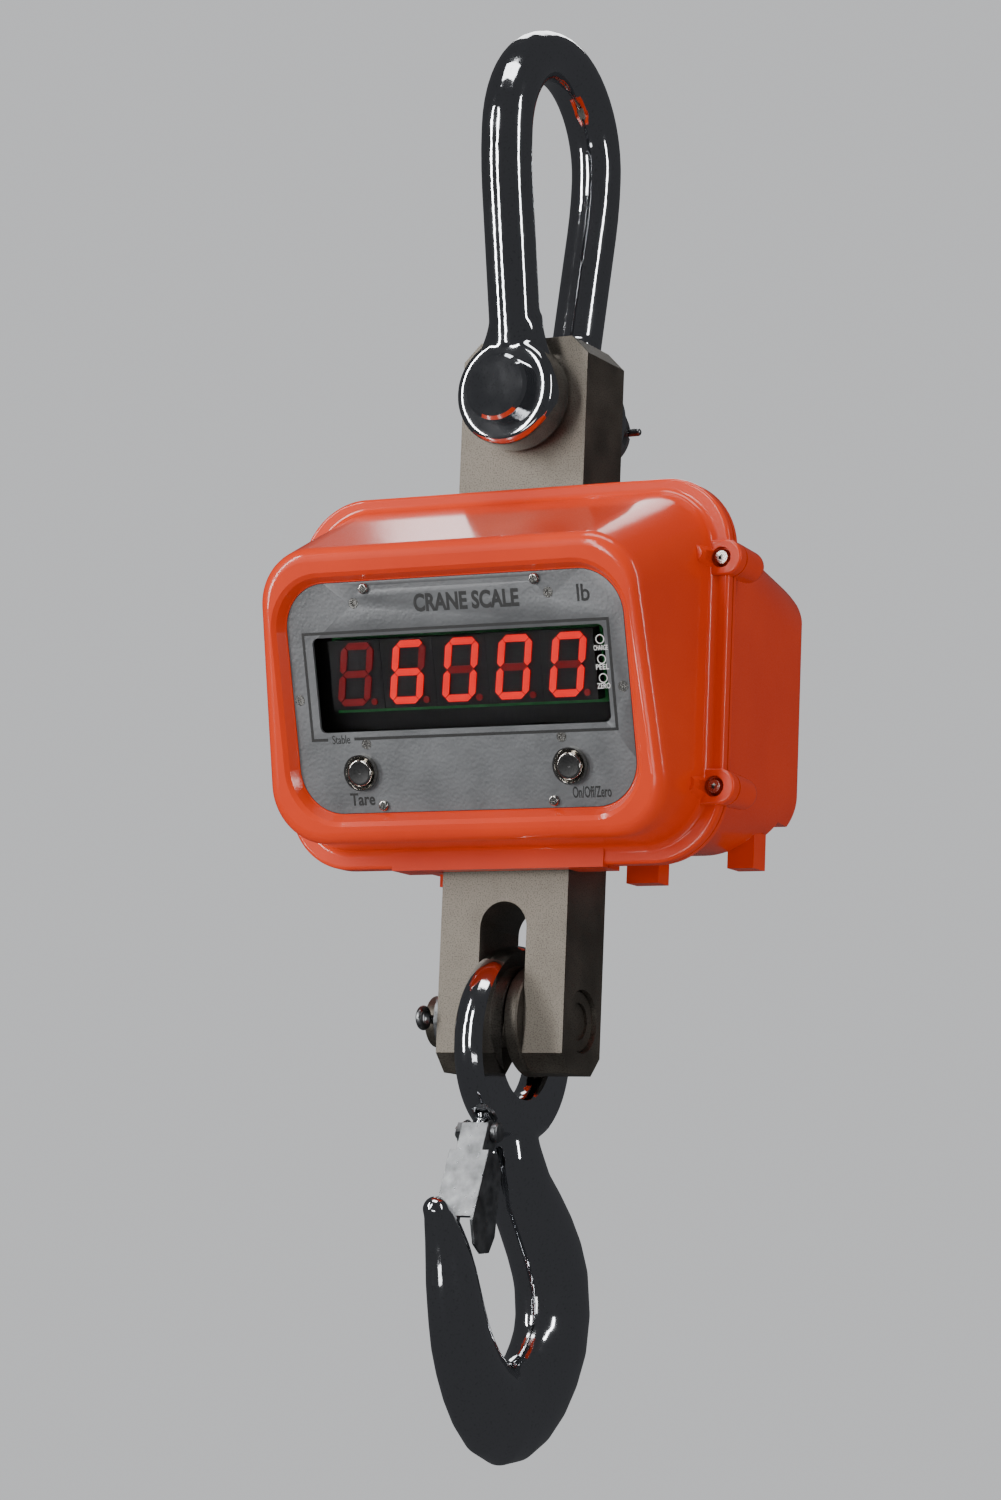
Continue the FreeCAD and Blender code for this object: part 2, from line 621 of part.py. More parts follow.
def make_cell_seal(z_low, z_high, lip_up):
    """A rubber sleeve that closes the gap between the load cell and the housing."""
    gap = OPENING_GAP
    sleeve = block(-CELL_HALF_X - gap + 0.1, CELL_HALF_X + gap - 0.1, -CELL_HALF_Y - gap + 0.1,
                   CELL_HALF_Y + gap - 0.1, z_low, z_high)
    lip_z = z_high if lip_up else z_low - 2.0
    lip_x = CELL_HALF_X + 4
    lip = block(-lip_x, lip_x, -CELL_HALF_Y - gap + 0.1, CELL_HALF_Y + 4, lip_z, lip_z + 2.0)
    cell_x = CELL_HALF_X + 0.1
    cell_y = CELL_HALF_Y + 0.1
    through = block(-cell_x, cell_x, -cell_y, cell_y, z_low - 5, z_high + 5)
    return sleeve.fuse(lip).cut(through).removeSplitter()


# --- display panel and what is behind it --------------------------------------------
def make_control_panel():
    panel = plate(panel_outline(0.0, -PANEL_THICK), V(0, 0, PANEL_THICK))
    panel = panel.cut(window_block(WINDOW, -3, 1, 0.0))
    for x, up in PAN_SCREWS + FLAT_SCREWS:
        panel = panel.cut(panel_rod(x, up, -3, 1, 1.45))
    for x, up in FLAT_SCREWS:
        panel = panel.cut(cone((x, up, -1.2), (0, 0, 1), 1.4, 2.7, 1.3))
    for x, up in BUTTONS.values():
        panel = panel.cut(panel_rod(x, up, -3, 1, 7.3))
    return on_panel(panel)


def make_panel_screws():
    screws = []
    for x, up in PAN_SCREWS:
        head = panel_rod(x, up, 0.0, 1.5, 2.6)
        head = head.makeFillet(0.9, [max(head.Edges, key=lambda e: e.CenterOfMass.z)])
        screws.append((head, panel_rod(x, up, -6, 0.1, 1.2), x, up, 1.5))
    for x, up in FLAT_SCREWS:
        head = cone((x, up, -1.15), (0, 0, 1), 1.3, 2.5, 1.2)
        screws.append((head, panel_rod(x, up, -6, -1.0, 1.2), x, up, 0.05))
    solids = []
    for head, shank, x, up, top in screws:
        cross = panel_block(x - 1.5, x + 1.5, up - 0.28, up + 0.28, top - 0.7, top + 1)
        cross = cross.fuse(panel_block(x - 0.28, x + 0.28, up - 1.5, up + 1.5, top - 0.7, top + 1))
        solids.append(on_panel(head.fuse(shank).cut(cross)))
    return group(solids)


BOARD_FACE = -13.4
MODULE_FACE = -6.0
DISPLAY_BOARD = (-73.3, 71.7, -14.2, 23.0)
SEGMENTS_OF = ["", "acdefg", "abcdef", "abcdef", "abcdef"]
MAIN_BOARD_OUT = -30.0
MAIN_STANDOFFS = [(sx * 56.0, up) for sx in (-1, 1) for up in (27.0, -29.0)]


def segment_shape(letter):
    """Outline of one display segment about the middle of its digit, before the slant."""
    half_w = (DIGIT_WIDTH - SEGMENT_WIDTH) / 2
    half_h = (DIGIT_HEIGHT - SEGMENT_WIDTH) / 2
    half = SEGMENT_WIDTH / 2
    gap = 0.35
    if letter in "agd":
        up = {"a": half_h, "g": 0.0, "d": -half_h}[letter]
        x0, x1 = -half_w + gap, half_w - gap
        top_side = [(x0, up), (x0 + half, up + half), (x1 - half, up + half)]
        return top_side + [(x1, up), (x1 - half, up - half), (x0 + half, up - half)]
    x = half_w if letter in "bc" else -half_w
    low = 0.0 if letter in "bf" else -half_h
    u0, u1 = low + gap, low + half_h - gap
    right_side = [(x, u0), (x + half, u0 + half), (x + half, u1 - half)]
    return right_side + [(x, u1), (x - half, u1 - half), (x - half, u0 + half)]


def slanted(points, digit):
    lean = math.tan(math.radians(DIGIT_SLANT))
    middle_x = DIGIT_FIRST_X + DIGIT_PITCH * digit
    middle_up = DIGIT_LOW + DIGIT_HEIGHT / 2
    loop = [V(middle_x + x + lean * up, middle_up + up, MODULE_FACE) for x, up in points]
    return Part.Face(Part.makePolygon(loop + loop[:1])).extrude(V(0, 0, 0.8))


def make_segments(lit):
    solids = []
    for digit in range(5):
        for letter in "abcdefg":
            if (letter in SEGMENTS_OF[digit]) == lit:
                solids.append(on_panel(slanted(segment_shape(letter), digit)))
        if not lit:
            lean = math.tan(math.radians(DIGIT_SLANT))
            point_up = -DIGIT_HEIGHT / 2 + 1.6
            x = DIGIT_FIRST_X + DIGIT_PITCH * digit + DIGIT_WIDTH / 2 + 2.4 + lean * point_up
            up = DIGIT_LOW + 1.6
            solids.append(on_panel(panel_rod(x, up, MODULE_FACE, MODULE_FACE + 0.8, 1.6)))
    return group(solids)


def make_digit_modules():
    modules = []
    for digit in range(5):
        x = DIGIT_FIRST_X + DIGIT_PITCH * digit
        half = DIGIT_PITCH / 2 - 0.1
        body = panel_block(x - half, x + half, -12.2, 21.0, BOARD_FACE, MODULE_FACE)
        modules.append(on_panel(body))
    return group(modules)


def make_display_board():
    x0, x1, up0, up1 = DISPLAY_BOARD
    return on_panel(panel_block(x0, x1, up0, up1, CARRIER_OUT + CARRIER_THICK, BOARD_FACE))


def make_display_carrier():
    carrier = panel_block(-90, 90, -33.8, 36.5, CARRIER_OUT, CARRIER_OUT + CARRIER_THICK)
    for x, up in CARRIER_POSTS:
        carrier = carrier.cut(panel_rod(x, up, -25, 0, 1.6))
    for x, up in MAIN_STANDOFFS:
        carrier = carrier.cut(panel_rod(x, up, -25, 0, 1.6))
    return on_panel(carrier)


def make_carrier_screws():
    solids = []
    for x, up in CARRIER_POSTS:
        head = panel_rod(x, up, CARRIER_OUT - 2.0, CARRIER_OUT, 2.8)
        solids.append(on_panel(head.fuse(panel_rod(x, up, CARRIER_OUT, -9, 1.25))))
    return group(solids)


LAMP_X = 76.6
LAMP_UPS = (16.3, 7.0, -1.8)


def make_status_lamps():
    lamps = []
    for up in LAMP_UPS:
        stem = panel_rod(LAMP_X, up, CARRIER_OUT + CARRIER_THICK, -7.0, 1.5)
        dome = Part.makeSphere(1.5, V(LAMP_X, up, -7.0))
        lamps.append(on_panel(stem.fuse(dome)))
    return group(lamps)


def make_main_board():
    board = panel_block(-62, 62, -52, 33, MAIN_BOARD_OUT, MAIN_BOARD_OUT + 1.6)
    for x, up in MAIN_STANDOFFS:
        board = board.cut(panel_rod(x, up, -40, 0, 1.6))
    return on_panel(board)


PLUG_UP = (-14.0, -4.0)
PLUG_OUT = MAIN_BOARD_OUT - 7.0


def make_board_parts():
    parts = [
        panel_block(-28, -14, -6, 8, MAIN_BOARD_OUT - 2.5, MAIN_BOARD_OUT),
        panel_block(-50, -38, -22, -14, MAIN_BOARD_OUT - 2.0, MAIN_BOARD_OUT),
        panel_block(-9, 9, PLUG_UP[0], PLUG_UP[1], PLUG_OUT, MAIN_BOARD_OUT),
        panel_block(30, 46, -40, -32, MAIN_BOARD_OUT - 8, MAIN_BOARD_OUT),
        panel_rod(36, 12, MAIN_BOARD_OUT - 12, MAIN_BOARD_OUT, 5.0),
        panel_rod(49, 12, MAIN_BOARD_OUT - 12, MAIN_BOARD_OUT, 5.0),
        panel_block(-54, -34, 4, 9, MAIN_BOARD_OUT - 4, MAIN_BOARD_OUT),
    ]
    return group([on_panel(part) for part in parts])


def make_board_standoffs():
    solids = []
    for x, up in MAIN_STANDOFFS:
        post = hexagon((x, up, MAIN_BOARD_OUT + 1.6), (0, 0, 1), 5.5, CARRIER_OUT - MAIN_BOARD_OUT - 1.6)
        low = panel_rod(x, up, MAIN_BOARD_OUT - 0.1, MAIN_BOARD_OUT + 1.7, 1.4)
        high = panel_rod(x, up, CARRIER_OUT - 0.1, CARRIER_OUT + CARRIER_THICK - 0.2, 1.4)
        nut = panel_rod(x, up, MAIN_BOARD_OUT - 2.2, MAIN_BOARD_OUT, 2.9)
        solids.append(on_panel(post.fuse([low, high, nut])))
    return group(solids)


def make_button_bezel(x, up):
    flange = panel_rod(x, up, 0.0, 2.4, 8.75)
    dish = cone((x, up, 0.6), (0, 0, 1), 6.47, 8.2, 1.9)
    barrel = panel_rod(x, up, -9.0, 0.1, 7.2)
    return on_panel(flange.cut(dish).fuse(barrel).cut(panel_rod(x, up, -10, 3, 6.47)))


def make_bezel_nuts():
    nuts = []
    for x, up in BUTTONS.values():
        nut = hexagon((x, up, -7.6), (0, 0, 1), 18, 3.0)
        nuts.append(on_panel(nut.cut(panel_rod(x, up, -9, 0, 7.22))))
    return group(nuts)


def make_button_ring(x, up):
    body = panel_rod(x, up, -7.6, 2.9, 6.4)
    body = body.makeFillet(0.8, [max(body.Edges, key=lambda e: e.CenterOfMass.z)])
    return on_panel(body.cut(panel_rod(x, up, 1.6, 4, 5.0)))


def make_button_face(x, up):
    face = panel_rod(x, up, 1.6, 3.0, 4.95)
    dish = Part.makeSphere(30, V(x, up, 32.6))
    return on_panel(face.cut(dish))


def make_button_switch(x, up):
    can = panel_rod(x, up, -17.2, -9.0, 7.2)
    legs = [panel_block(x + dx - 0.6, x + dx + 0.6, up - 1.5, up + 1.5, -21, -17.1) for dx in (-3.5, 3.5)]
    return on_panel(can.fuse(legs))


# --- wiring, battery, brackets ------------------------------------------------------
GLAND_END = -CELL_HALF_Y - 9.0


def make_cell_gland():
    nut = hexagon((0, GLAND_END, GLAND_Z), (0, 1, 0), 12, 9.0)
    stem = rod((0, -CELL_HALF_Y - 0.1, GLAND_Z), (0, 1, 0), 3.9, 9)
    return nut.fuse(stem).cut(rod((0, GLAND_END - 1, GLAND_Z), (0, 1, 0), 1.6, 25))


CABLE_R = 1.5
CABLE_BEND_R = 11.0


def make_cell_cable():
    """Measuring cable from the gland, round one bend, down to its plug on the main board."""
    plug_top = PANEL_PLACE.multVec(V(0, PLUG_UP[1], (PLUG_OUT + MAIN_BOARD_OUT) / 2))
    front_y = plug_top.y
    bend = V(0, front_y + CABLE_BEND_R, GLAND_Z - CABLE_BEND_R)
    middle = bend + V(0, -CABLE_BEND_R, CABLE_BEND_R) * math.sqrt(0.5)
    start = V(0, GLAND_END + 8, GLAND_Z)
    turn_start = V(0, bend.y, GLAND_Z)
    turn_end = V(0, front_y, bend.z)
    run_out = Part.LineSegment(start, turn_start).toShape()
    turn = Part.Arc(turn_start, middle, turn_end).toShape()
    run_down = Part.LineSegment(turn_end, V(0, front_y, plug_top.z + 0.6)).toShape()
    path = Part.Wire([run_out, turn, run_down])
    section = Part.Wire(Part.makeCircle(CABLE_R, start, V(0, 1, 0)))
    return path.makePipeShell([section], True, False)


def make_gauge_covers():
    covers = []
    for side in (-1, 1):
        covers.append(rod((0, side * (CELL_HALF_Y - 1.5), GAUGE_Z), (0, side, 0), GAUGE_POCKET_R + 2.9, 1.2))
    return group(covers)


BRACKET_REACH = 101.0


def make_bracket(side):
    """Angle bracket: one leg on the side of the load cell, the other on a lug of the housing."""
    x_cell = side * CELL_HALF_X
    x_low, x_high = sorted((x_cell, x_cell + side * BRACKET_THICK))
    z0, z1 = GAUGE_Z - BRACKET_HALF_Z, GAUGE_Z + BRACKET_HALF_Z
    leg = block(x_low, x_high, -15, LUG_Y, z0, z1)
    arm_low, arm_high = sorted((x_cell, side * BRACKET_REACH))
    arm = block(arm_low, arm_high, LUG_Y - BRACKET_THICK, LUG_Y, z0, z1)
    bracket = leg.fuse(arm).removeSplitter()
    for x, y, z in bracket_screw_places():
        if x * side > 0:
            bracket = bracket.cut(rod((x - 5 * side, y, z), (side, 0, 0), 2.8, 12))
    for x, z in bracket_lug_screws():
        if x * side > 0:
            bracket = bracket.cut(rod((x, LUG_Y - 8, z), (0, 1, 0), 2.3, 12))
    return bracket


def make_bracket_screws():
    screws = []
    for x, y, z in bracket_screw_places():
        side = 1 if x > 0 else -1
        screws.append(button_head_screw((x + side * BRACKET_THICK, y, z), (-side, 0, 0), 4.6, 3.0, 2.5, 13))
    for x, z in bracket_lug_screws():
        screws.append(button_head_screw((x, LUG_Y - BRACKET_THICK, z), (0, 1, 0), 4.0, 2.6, 2.0, 12))
    return group(screws)


BATTERY_HALF_X = 51.0
BATTERY_HALF_Z = 35.0
BATTERY_Y = (55.0, 102.0)


def make_battery():
    case = block(-BATTERY_HALF_X, BATTERY_HALF_X, BATTERY_Y[0], BATTERY_Y[1], DOOR_Z - BATTERY_HALF_Z,
                 DOOR_Z + BATTERY_HALF_Z - 3)
    case = case.makeFillet(2.0, case.Edges)
    lid = block(-BATTERY_HALF_X + 1, BATTERY_HALF_X - 1, BATTERY_Y[0] + 1, BATTERY_Y[1] - 1,
                DOOR_Z + BATTERY_HALF_Z - 4, DOOR_Z + BATTERY_HALF_Z)
    return case.fuse(lid).removeSplitter()


def make_battery_terminals():
    blades = []
    for x in (-40, 40):
        blades.append(block(x - 3, x + 3, 76, 80, DOOR_Z + BATTERY_HALF_Z, DOOR_Z + BATTERY_HALF_Z + 7))
    return group(blades)


def make_battery_tray():
    floor_top = DOOR_Z - BATTERY_HALF_Z - 0.2
    half_x = BATTERY_HALF_X + 2
    front = BATTERY_Y[0] - 3
    tray = block(-half_x, half_x, front, BATTERY_Y[1] - 3, TRAY_Z, floor_top)
    wall = block(-half_x, half_x, front, front + 2, TRAY_Z, floor_top + 25)
    tray = tray.fuse(wall).removeSplitter()
    for x, y in TRAY_POSTS:
        tray = tray.cut(rod((x, y, TRAY_Z - 1), (0, 0, 1), 1.7, 6))
        tray = tray.cut(cone((x, y, floor_top - 1.2), (0, 0, 1), 1.7, 3.2, 1.3))
    return tray


def make_tray_screws():
    floor_top = DOOR_Z - BATTERY_HALF_Z - 0.2
    screws = []
    for x, y in TRAY_POSTS:
        head = cone((x, y, floor_top - 1.2), (0, 0, 1), 1.4, 2.8, 1.1)
        screws.append(head.fuse(rod((x, y, floor_top - 1.1), (0, 0, -1), 1.5, 9)))
    return group(screws)


def door_plate(y, thick, half_x, half_z, radius):
    return plate(rounded_rect(-half_x, half_x, DOOR_Z - half_z, DOOR_Z + half_z, radius, y), V(0, thick, 0))


def make_door_gasket():
    gasket = door_plate(HOUSING_BACK_Y, DOOR_GASKET, DOOR_HALF_X - 1, DOOR_HALF_Z - 1, 7.0)
    gasket = gasket.cut(door_plate(HOUSING_BACK_Y - 1, 5, DOOR_OPENING_HALF_X, DOOR_OPENING_HALF_Z, 5.0))
    for x, z in door_screw_places():
        gasket = gasket.cut(rod((x, HOUSING_BACK_Y - 1, z), (0, 1, 0), 1.9, 5))
    return gasket


def make_battery_door():
    y = HOUSING_BACK_Y + DOOR_GASKET
    door = door_plate(y, DOOR_THICK, DOOR_HALF_X, DOOR_HALF_Z, 8.0)
    outer = [e for e in door.Edges if e.BoundBox.YMin > y + DOOR_THICK - 0.01]
    door = door.makeFillet(1.5, outer)
    for x, z in door_screw_places():
        door = door.cut(rod((x, y - 1, z), (0, 1, 0), 2.0, 8))
    for dz in (-15, -5, 5, 15):
        rib_y = y + DOOR_THICK
        rib = block(-38, 38, rib_y - 0.5, rib_y + 1.2, DOOR_Z + dz - 1.5, DOOR_Z + dz + 1.5)
        door = door.fuse(rib)
    return door


def make_door_screws():
    y = HOUSING_BACK_Y + DOOR_GASKET + DOOR_THICK
    screws = []
    for x, z in door_screw_places():
        screws.append(button_head_screw((x, y, z), (0, -1, 0), 3.3, 2.0, 1.6, 11))
    return group(screws)


def make_charge_socket():
    place = (SOCKET_X, HOUSING_BACK_Y, SOCKET_Z)
    collar = ring(place, (0, 1, 0), 2.8, 7.5, 2.0)
    barrel = ring((SOCKET_X, HOUSING_BACK_Y - 14, SOCKET_Z), (0, 1, 0), 2.8, 5.5, 14.1)
    back = rod((SOCKET_X, HOUSING_BACK_Y - 16, SOCKET_Z), (0, 1, 0), 5.5, 2.1)
    centre = rod((SOCKET_X, HOUSING_BACK_Y - 14, SOCKET_Z), (0, 1, 0), 1.0, 11)
    return collar.fuse([barrel, back, centre])


def make_socket_cap():
    y = HOUSING_BACK_Y + 2.0
    lid = rod((SOCKET_X, y, SOCKET_Z), (0, 1, 0), 7.2, 2.2)
    lid = lid.makeFillet(0.9, [max(lid.Edges, key=lambda e: e.BoundBox.YMin)])
    plug = rod((SOCKET_X, y - 2.5, SOCKET_Z), (0, 1, 0), 2.7, 2.6)
    tab = block(SOCKET_X - 2.5, SOCKET_X + 2.5, y, y + 1.5, SOCKET_Z - 11, SOCKET_Z - 5)
    return lid.fuse([plug, tab])


# --- hook, its pin and its latch ----------------------------------------------------
# Stations down the hook's centreline: y, z, half depth in the plane of the hook, half width across it.
HOOK_STATIONS = [
    (0.0, -508.0, 14.0, 9.0),
    (1.5, -528.0, 17.0, 13.0),
    (12.0, -546.0, 19.0, 14.5),
    (33.0, -567.0, 22.5, 15.5),
    (47.5, -587.0, 24.5, 16.0),
    (51.0, -606.0, 25.0, 16.0),
    (43.5, -628.0, 25.0, 16.0),
    (25.5, -645.5, 24.8, 15.5),
    (2.0, -652.5, 24.5, 15.0),
    (-20.0, -643.5, 22.5, 14.0),
    (-36.5, -627.0, 20.0, 13.0),
    (-46.5, -609.5, 18.0, 12.0),
    (-52.5, -592.0, 16.0, 11.0),
    (-59.0, -577.0, 13.0, 9.5),
    (-66.0, -565.5, 10.0, 7.5),
    (-71.5, -558.5, 6.5, 5.5),
]
EYE_Z = HOOK_PIN_Z - (EYE_INNER_R - PIN_R) + 2 * RUNNING_GAP
LUG_HALF_X = 5.2
LUG_R = 5.2
LATCH_BOLT_R = 3.0


def make_hook():
    sections = []
    last = len(HOOK_STATIONS) - 1
    for i, (y, z, half_depth, half_width) in enumerate(HOOK_STATIONS):
        before = HOOK_STATIONS[max(i - 1, 0)]
        after = HOOK_STATIONS[min(i + 1, last)]
        along = V(0, after[0] - before[0], after[1] - before[1]).normalize()
        across = V(0, -along.z, along.y)
        centre = V(HOOK_X, y, z)
        ellipse = Part.Ellipse(centre + across * half_depth, centre + V(half_width, 0, 0), centre)
        sections.append(Part.Wire(ellipse.toShape()))
    bend = Part.makeLoft(sections, True, False)
    y, z, half_depth, half_width = HOOK_STATIONS[-1]
    tip = Part.makeSphere(half_width, V(HOOK_X, y, z))
    # the eye: a ring with an oval bar, machined flat on both sides
    bar_r = (EYE_OUTER_R - EYE_INNER_R) / 2
    eye = Part.makeTorus(EYE_INNER_R + bar_r, bar_r, V(HOOK_X, 0, EYE_Z), V(1, 0, 0))
    eye = eye.common(block(HOOK_X - EYE_HALF_X, HOOK_X + 7.0, -60, 60, EYE_Z - 60, EYE_Z + 60))
    bridge = block(HOOK_X - 9, HOOK_X + 7, -13, 13, -522, EYE_Z - EYE_INNER_R - 3)
    lug = rod((HOOK_X - LUG_HALF_X, LATCH_Y, LATCH_Z), (1, 0, 0), LUG_R, LUG_HALF_X + 1)
    lug_web = block(HOOK_X - LUG_HALF_X, HOOK_X + 1, LATCH_Y, -8, LATCH_Z - LUG_R, LATCH_Z + LUG_R)
    hook = bend.fuse([eye, bridge, lug, lug_web, tip])
    hook = hook.cut(rod((HOOK_X - 20, LATCH_Y, LATCH_Z), (1, 0, 0), LATCH_BOLT_R + 0.1, 40))
    return hook


HOOK_PIN_LEFT = -45.0
HOOK_PIN_HEAD = 6.0


def make_hook_pin():
    head_x = CELL_HALF_X - 8
    shank = rod((HOOK_PIN_LEFT, 0, HOOK_PIN_Z), (1, 0, 0), PIN_R, head_x - HOOK_PIN_LEFT)
    head = rod((head_x, 0, HOOK_PIN_Z), (1, 0, 0), 15.0, HOOK_PIN_HEAD)
    head = head.makeChamfer(1.0, [max(head.Edges, key=lambda e: e.BoundBox.XMin)])
    dimple = rod((head_x + HOOK_PIN_HEAD, 0, HOOK_PIN_Z), (-1, 0, 0), 9.0, 1.5)
    pin = shank.fuse(head).removeSplitter().cut(dimple)
    return pin.cut(rod((HOOK_PIN_LEFT + 4.5, -20, HOOK_PIN_Z), (0, 1, 0), 2.2, 40))


def make_hook_washer():
    return ring((-CELL_HALF_X - 2.6, 0, HOOK_PIN_Z), (1, 0, 0), PIN_R + 0.3, 19.0, 2.5)


def make_hook_spacer():
    start = HOOK_X + 7.3
    spacer = ring((start, 0, HOOK_PIN_Z), (1, 0, 0), PIN_R + 0.4, 26.5, SLOT_HALF_X - 0.2 - start)
    return spacer.makeChamfer(0.8, [e for e in spacer.Edges if e.BoundBox.ZLength > 50])


def latch_point(along, out, x):
    """A point given down the latch from its bolt and out from it."""
    lean = math.radians(LATCH_LEAN)
    down = V(0, -math.sin(lean), -math.cos(lean))
    outward = V(0, -math.cos(lean), math.sin(lean))
    return V(x, LATCH_Y, LATCH_Z) + down * along + outward * out


def latch_plate(points, x0, x1):
    loop = [latch_point(along, out, x0) for along, out in points]
    return Part.Face(Part.makePolygon(loop + loop[:1])).extrude(V(x1 - x0, 0, 0))


LATCH_SHEET = 1.5
LATCH_HALF_X = 10.5
LATCH_EAR_X = 7.0
LATCH_WEB_END = 46.0


def make_safety_latch():
    wide = LATCH_HALF_X
    slim = LATCH_EAR_X
    sheet = LATCH_SHEET
    web_out = 7.0
    low_side = [(13, web_out), (48, web_out), (57, 0.0), (58.5, -8)]
    low_side += [(55, -15), (46, -17), (15, -9), (10, -2)]
    solids = []
    for side in (-1, 1):
        x_out = HOOK_X + side * wide
        solids.append(latch_plate(low_side, x_out - side * sheet, x_out))
        x_ear = HOOK_X + side * slim
        ear = [(-2, web_out), (14, web_out), (14, -1), (4, -4.8), (-2.5, -4.8), (-4.8, -2.5), (-4.8, 4)]
        solids.append(latch_plate(ear, x_ear - side * sheet, x_ear))
    web = [(12, web_out), (LATCH_WEB_END, web_out)]
    web += [(LATCH_WEB_END + 0.4, web_out - sheet), (12, web_out - sheet)]
    solids.append(latch_plate(web, HOOK_X - wide, HOOK_X + wide))
    solids.append(latch_plate([(-2, web_out), (14, web_out), (14, web_out - sheet), (-2, web_out - sheet)],
                              HOOK_X - slim, HOOK_X + slim))
    latch = solids[0].fuse(solids[1:]).removeSplitter()
    return latch.cut(rod((HOOK_X - 20, LATCH_Y, LATCH_Z), (1, 0, 0), LATCH_BOLT_R + RUNNING_GAP, 40))


def make_latch_bolt():
    left = HOOK_X - 12.5
    shank = rod((left, LATCH_Y, LATCH_Z), (1, 0, 0), LATCH_BOLT_R, 21.0)
    head = rod((HOOK_X + LATCH_EAR_X + 0.3, LATCH_Y, LATCH_Z), (1, 0, 0), 4.8, 3.2)
    head = head.makeFillet(1.4, [max(head.Edges, key=lambda e: e.BoundBox.XMin)])
    return shank.fuse(head).removeSplitter()


def make_latch_nut():
    nut = hexagon((HOOK_X - LATCH_EAR_X - 4.0, LATCH_Y, LATCH_Z), (1, 0, 0), 9, 3.6)
    return nut.cut(rod((HOOK_X - 20, LATCH_Y, LATCH_Z), (1, 0, 0), LATCH_BOLT_R + 0.05, 40))


def make_latch_spring():
    """Three turns on the latch bolt beside the hook's lug, with one tail resting on the neck."""
    turns = []
    for i in range(3):
        x = HOOK_X + 1.9 + 1.25 * i
        turns.append(Part.makeTorus(4.0, 0.65, V(x, LATCH_Y, LATCH_Z), V(1, 0, 0)))
    tail = rod((HOOK_X + 1.9, LATCH_Y, LATCH_Z - 4.0), (0, 1, 0), 0.6, 12)
    return turns[0].fuse(turns[1:] + [tail])


# --- write every sub-part -----------------------------------------------------------
save("shackle_bow", make_bow())
save("shackle_pin", make_shackle_pin())
save("shackle_washer", ring((0, EAR_OUT_Y, SHACKLE_PIN_Z), (0, 1, 0), PIN_R + 0.4, WASHER_R, WASHER_THICK))
save("shackle_nut", make_shackle_nut())
SHACKLE_SPLIT_Y = EAR_OUT_Y + WASHER_THICK + NUT_THICK - 4
save("shackle_split_pin", split_pin((0, SHACKLE_SPLIT_Y, SHACKLE_PIN_Z), (1, 0, 0), (0, 1, 0), SPLIT_R, 44))

save("load_cell", make_load_cell())
save("gauge_covers", make_gauge_covers())
save("cell_gland", make_cell_gland())
save("cell_cable", make_cell_cable())

save("rear_housing", make_rear_housing())
save("front_cover", make_front_cover())
save("cover_gasket", make_cover_gasket())
save("cover_screws", make_cover_screws())
save("top_seal", make_cell_seal(BODY_TOP - 13, BODY_TOP - 1.5, False))
save("bottom_seal", make_cell_seal(BODY_BOTTOM + 2, BODY_BOTTOM + 13, True))
save("left_bracket", make_bracket(-1))
save("right_bracket", make_bracket(1))
save("bracket_screws", make_bracket_screws())

save("control_panel", make_control_panel())
save("panel_screws", make_panel_screws())
save("display_window", on_panel(window_block(LENS, -PANEL_THICK - COVER_WALL, -PANEL_THICK, 0.0)))
save("display_carrier", make_display_carrier())
save("carrier_screws", make_carrier_screws())
save("display_board", make_display_board())
save("digit_modules", make_digit_modules())
save("lit_segments", make_segments(True))
save("dark_segments", make_segments(False))
save("status_lamps", make_status_lamps())
save("main_board", make_main_board())
save("board_parts", make_board_parts())
save("board_standoffs", make_board_standoffs())

for button, (button_x, button_up) in BUTTONS.items():
    save(button + "_button_bezel", make_button_bezel(button_x, button_up))
    save(button + "_button_ring", make_button_ring(button_x, button_up))
    save(button + "_button_face", make_button_face(button_x, button_up))
    save(button + "_button_switch", make_button_switch(button_x, button_up))
save("bezel_nuts", make_bezel_nuts())

save("battery", make_battery())
save("battery_terminals", make_battery_terminals())
save("battery_tray", make_battery_tray())
save("tray_screws", make_tray_screws())
save("battery_door", make_battery_door())
save("door_gasket", make_door_gasket())
save("door_screws", make_door_screws())
save("charge_socket", make_charge_socket())
save("charge_socket_cap", make_socket_cap())

save("hook", make_hook())
save("hook_pin", make_hook_pin())
save("hook_pin_washer", make_hook_washer())
save("hook_spacer", make_hook_spacer())
save("hook_split_pin", split_pin((HOOK_PIN_LEFT + 4.5, 0, HOOK_PIN_Z), (0, 1, 0), (1, 0, 0), SPLIT_R, 34))
save("safety_latch", make_safety_latch())
save("latch_bolt", make_latch_bolt())
save("latch_nut", make_latch_nut())
save("latch_spring", make_latch_spring())
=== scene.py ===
import json
import math

import bmesh
import bpy
from mathutils import Matrix, Vector


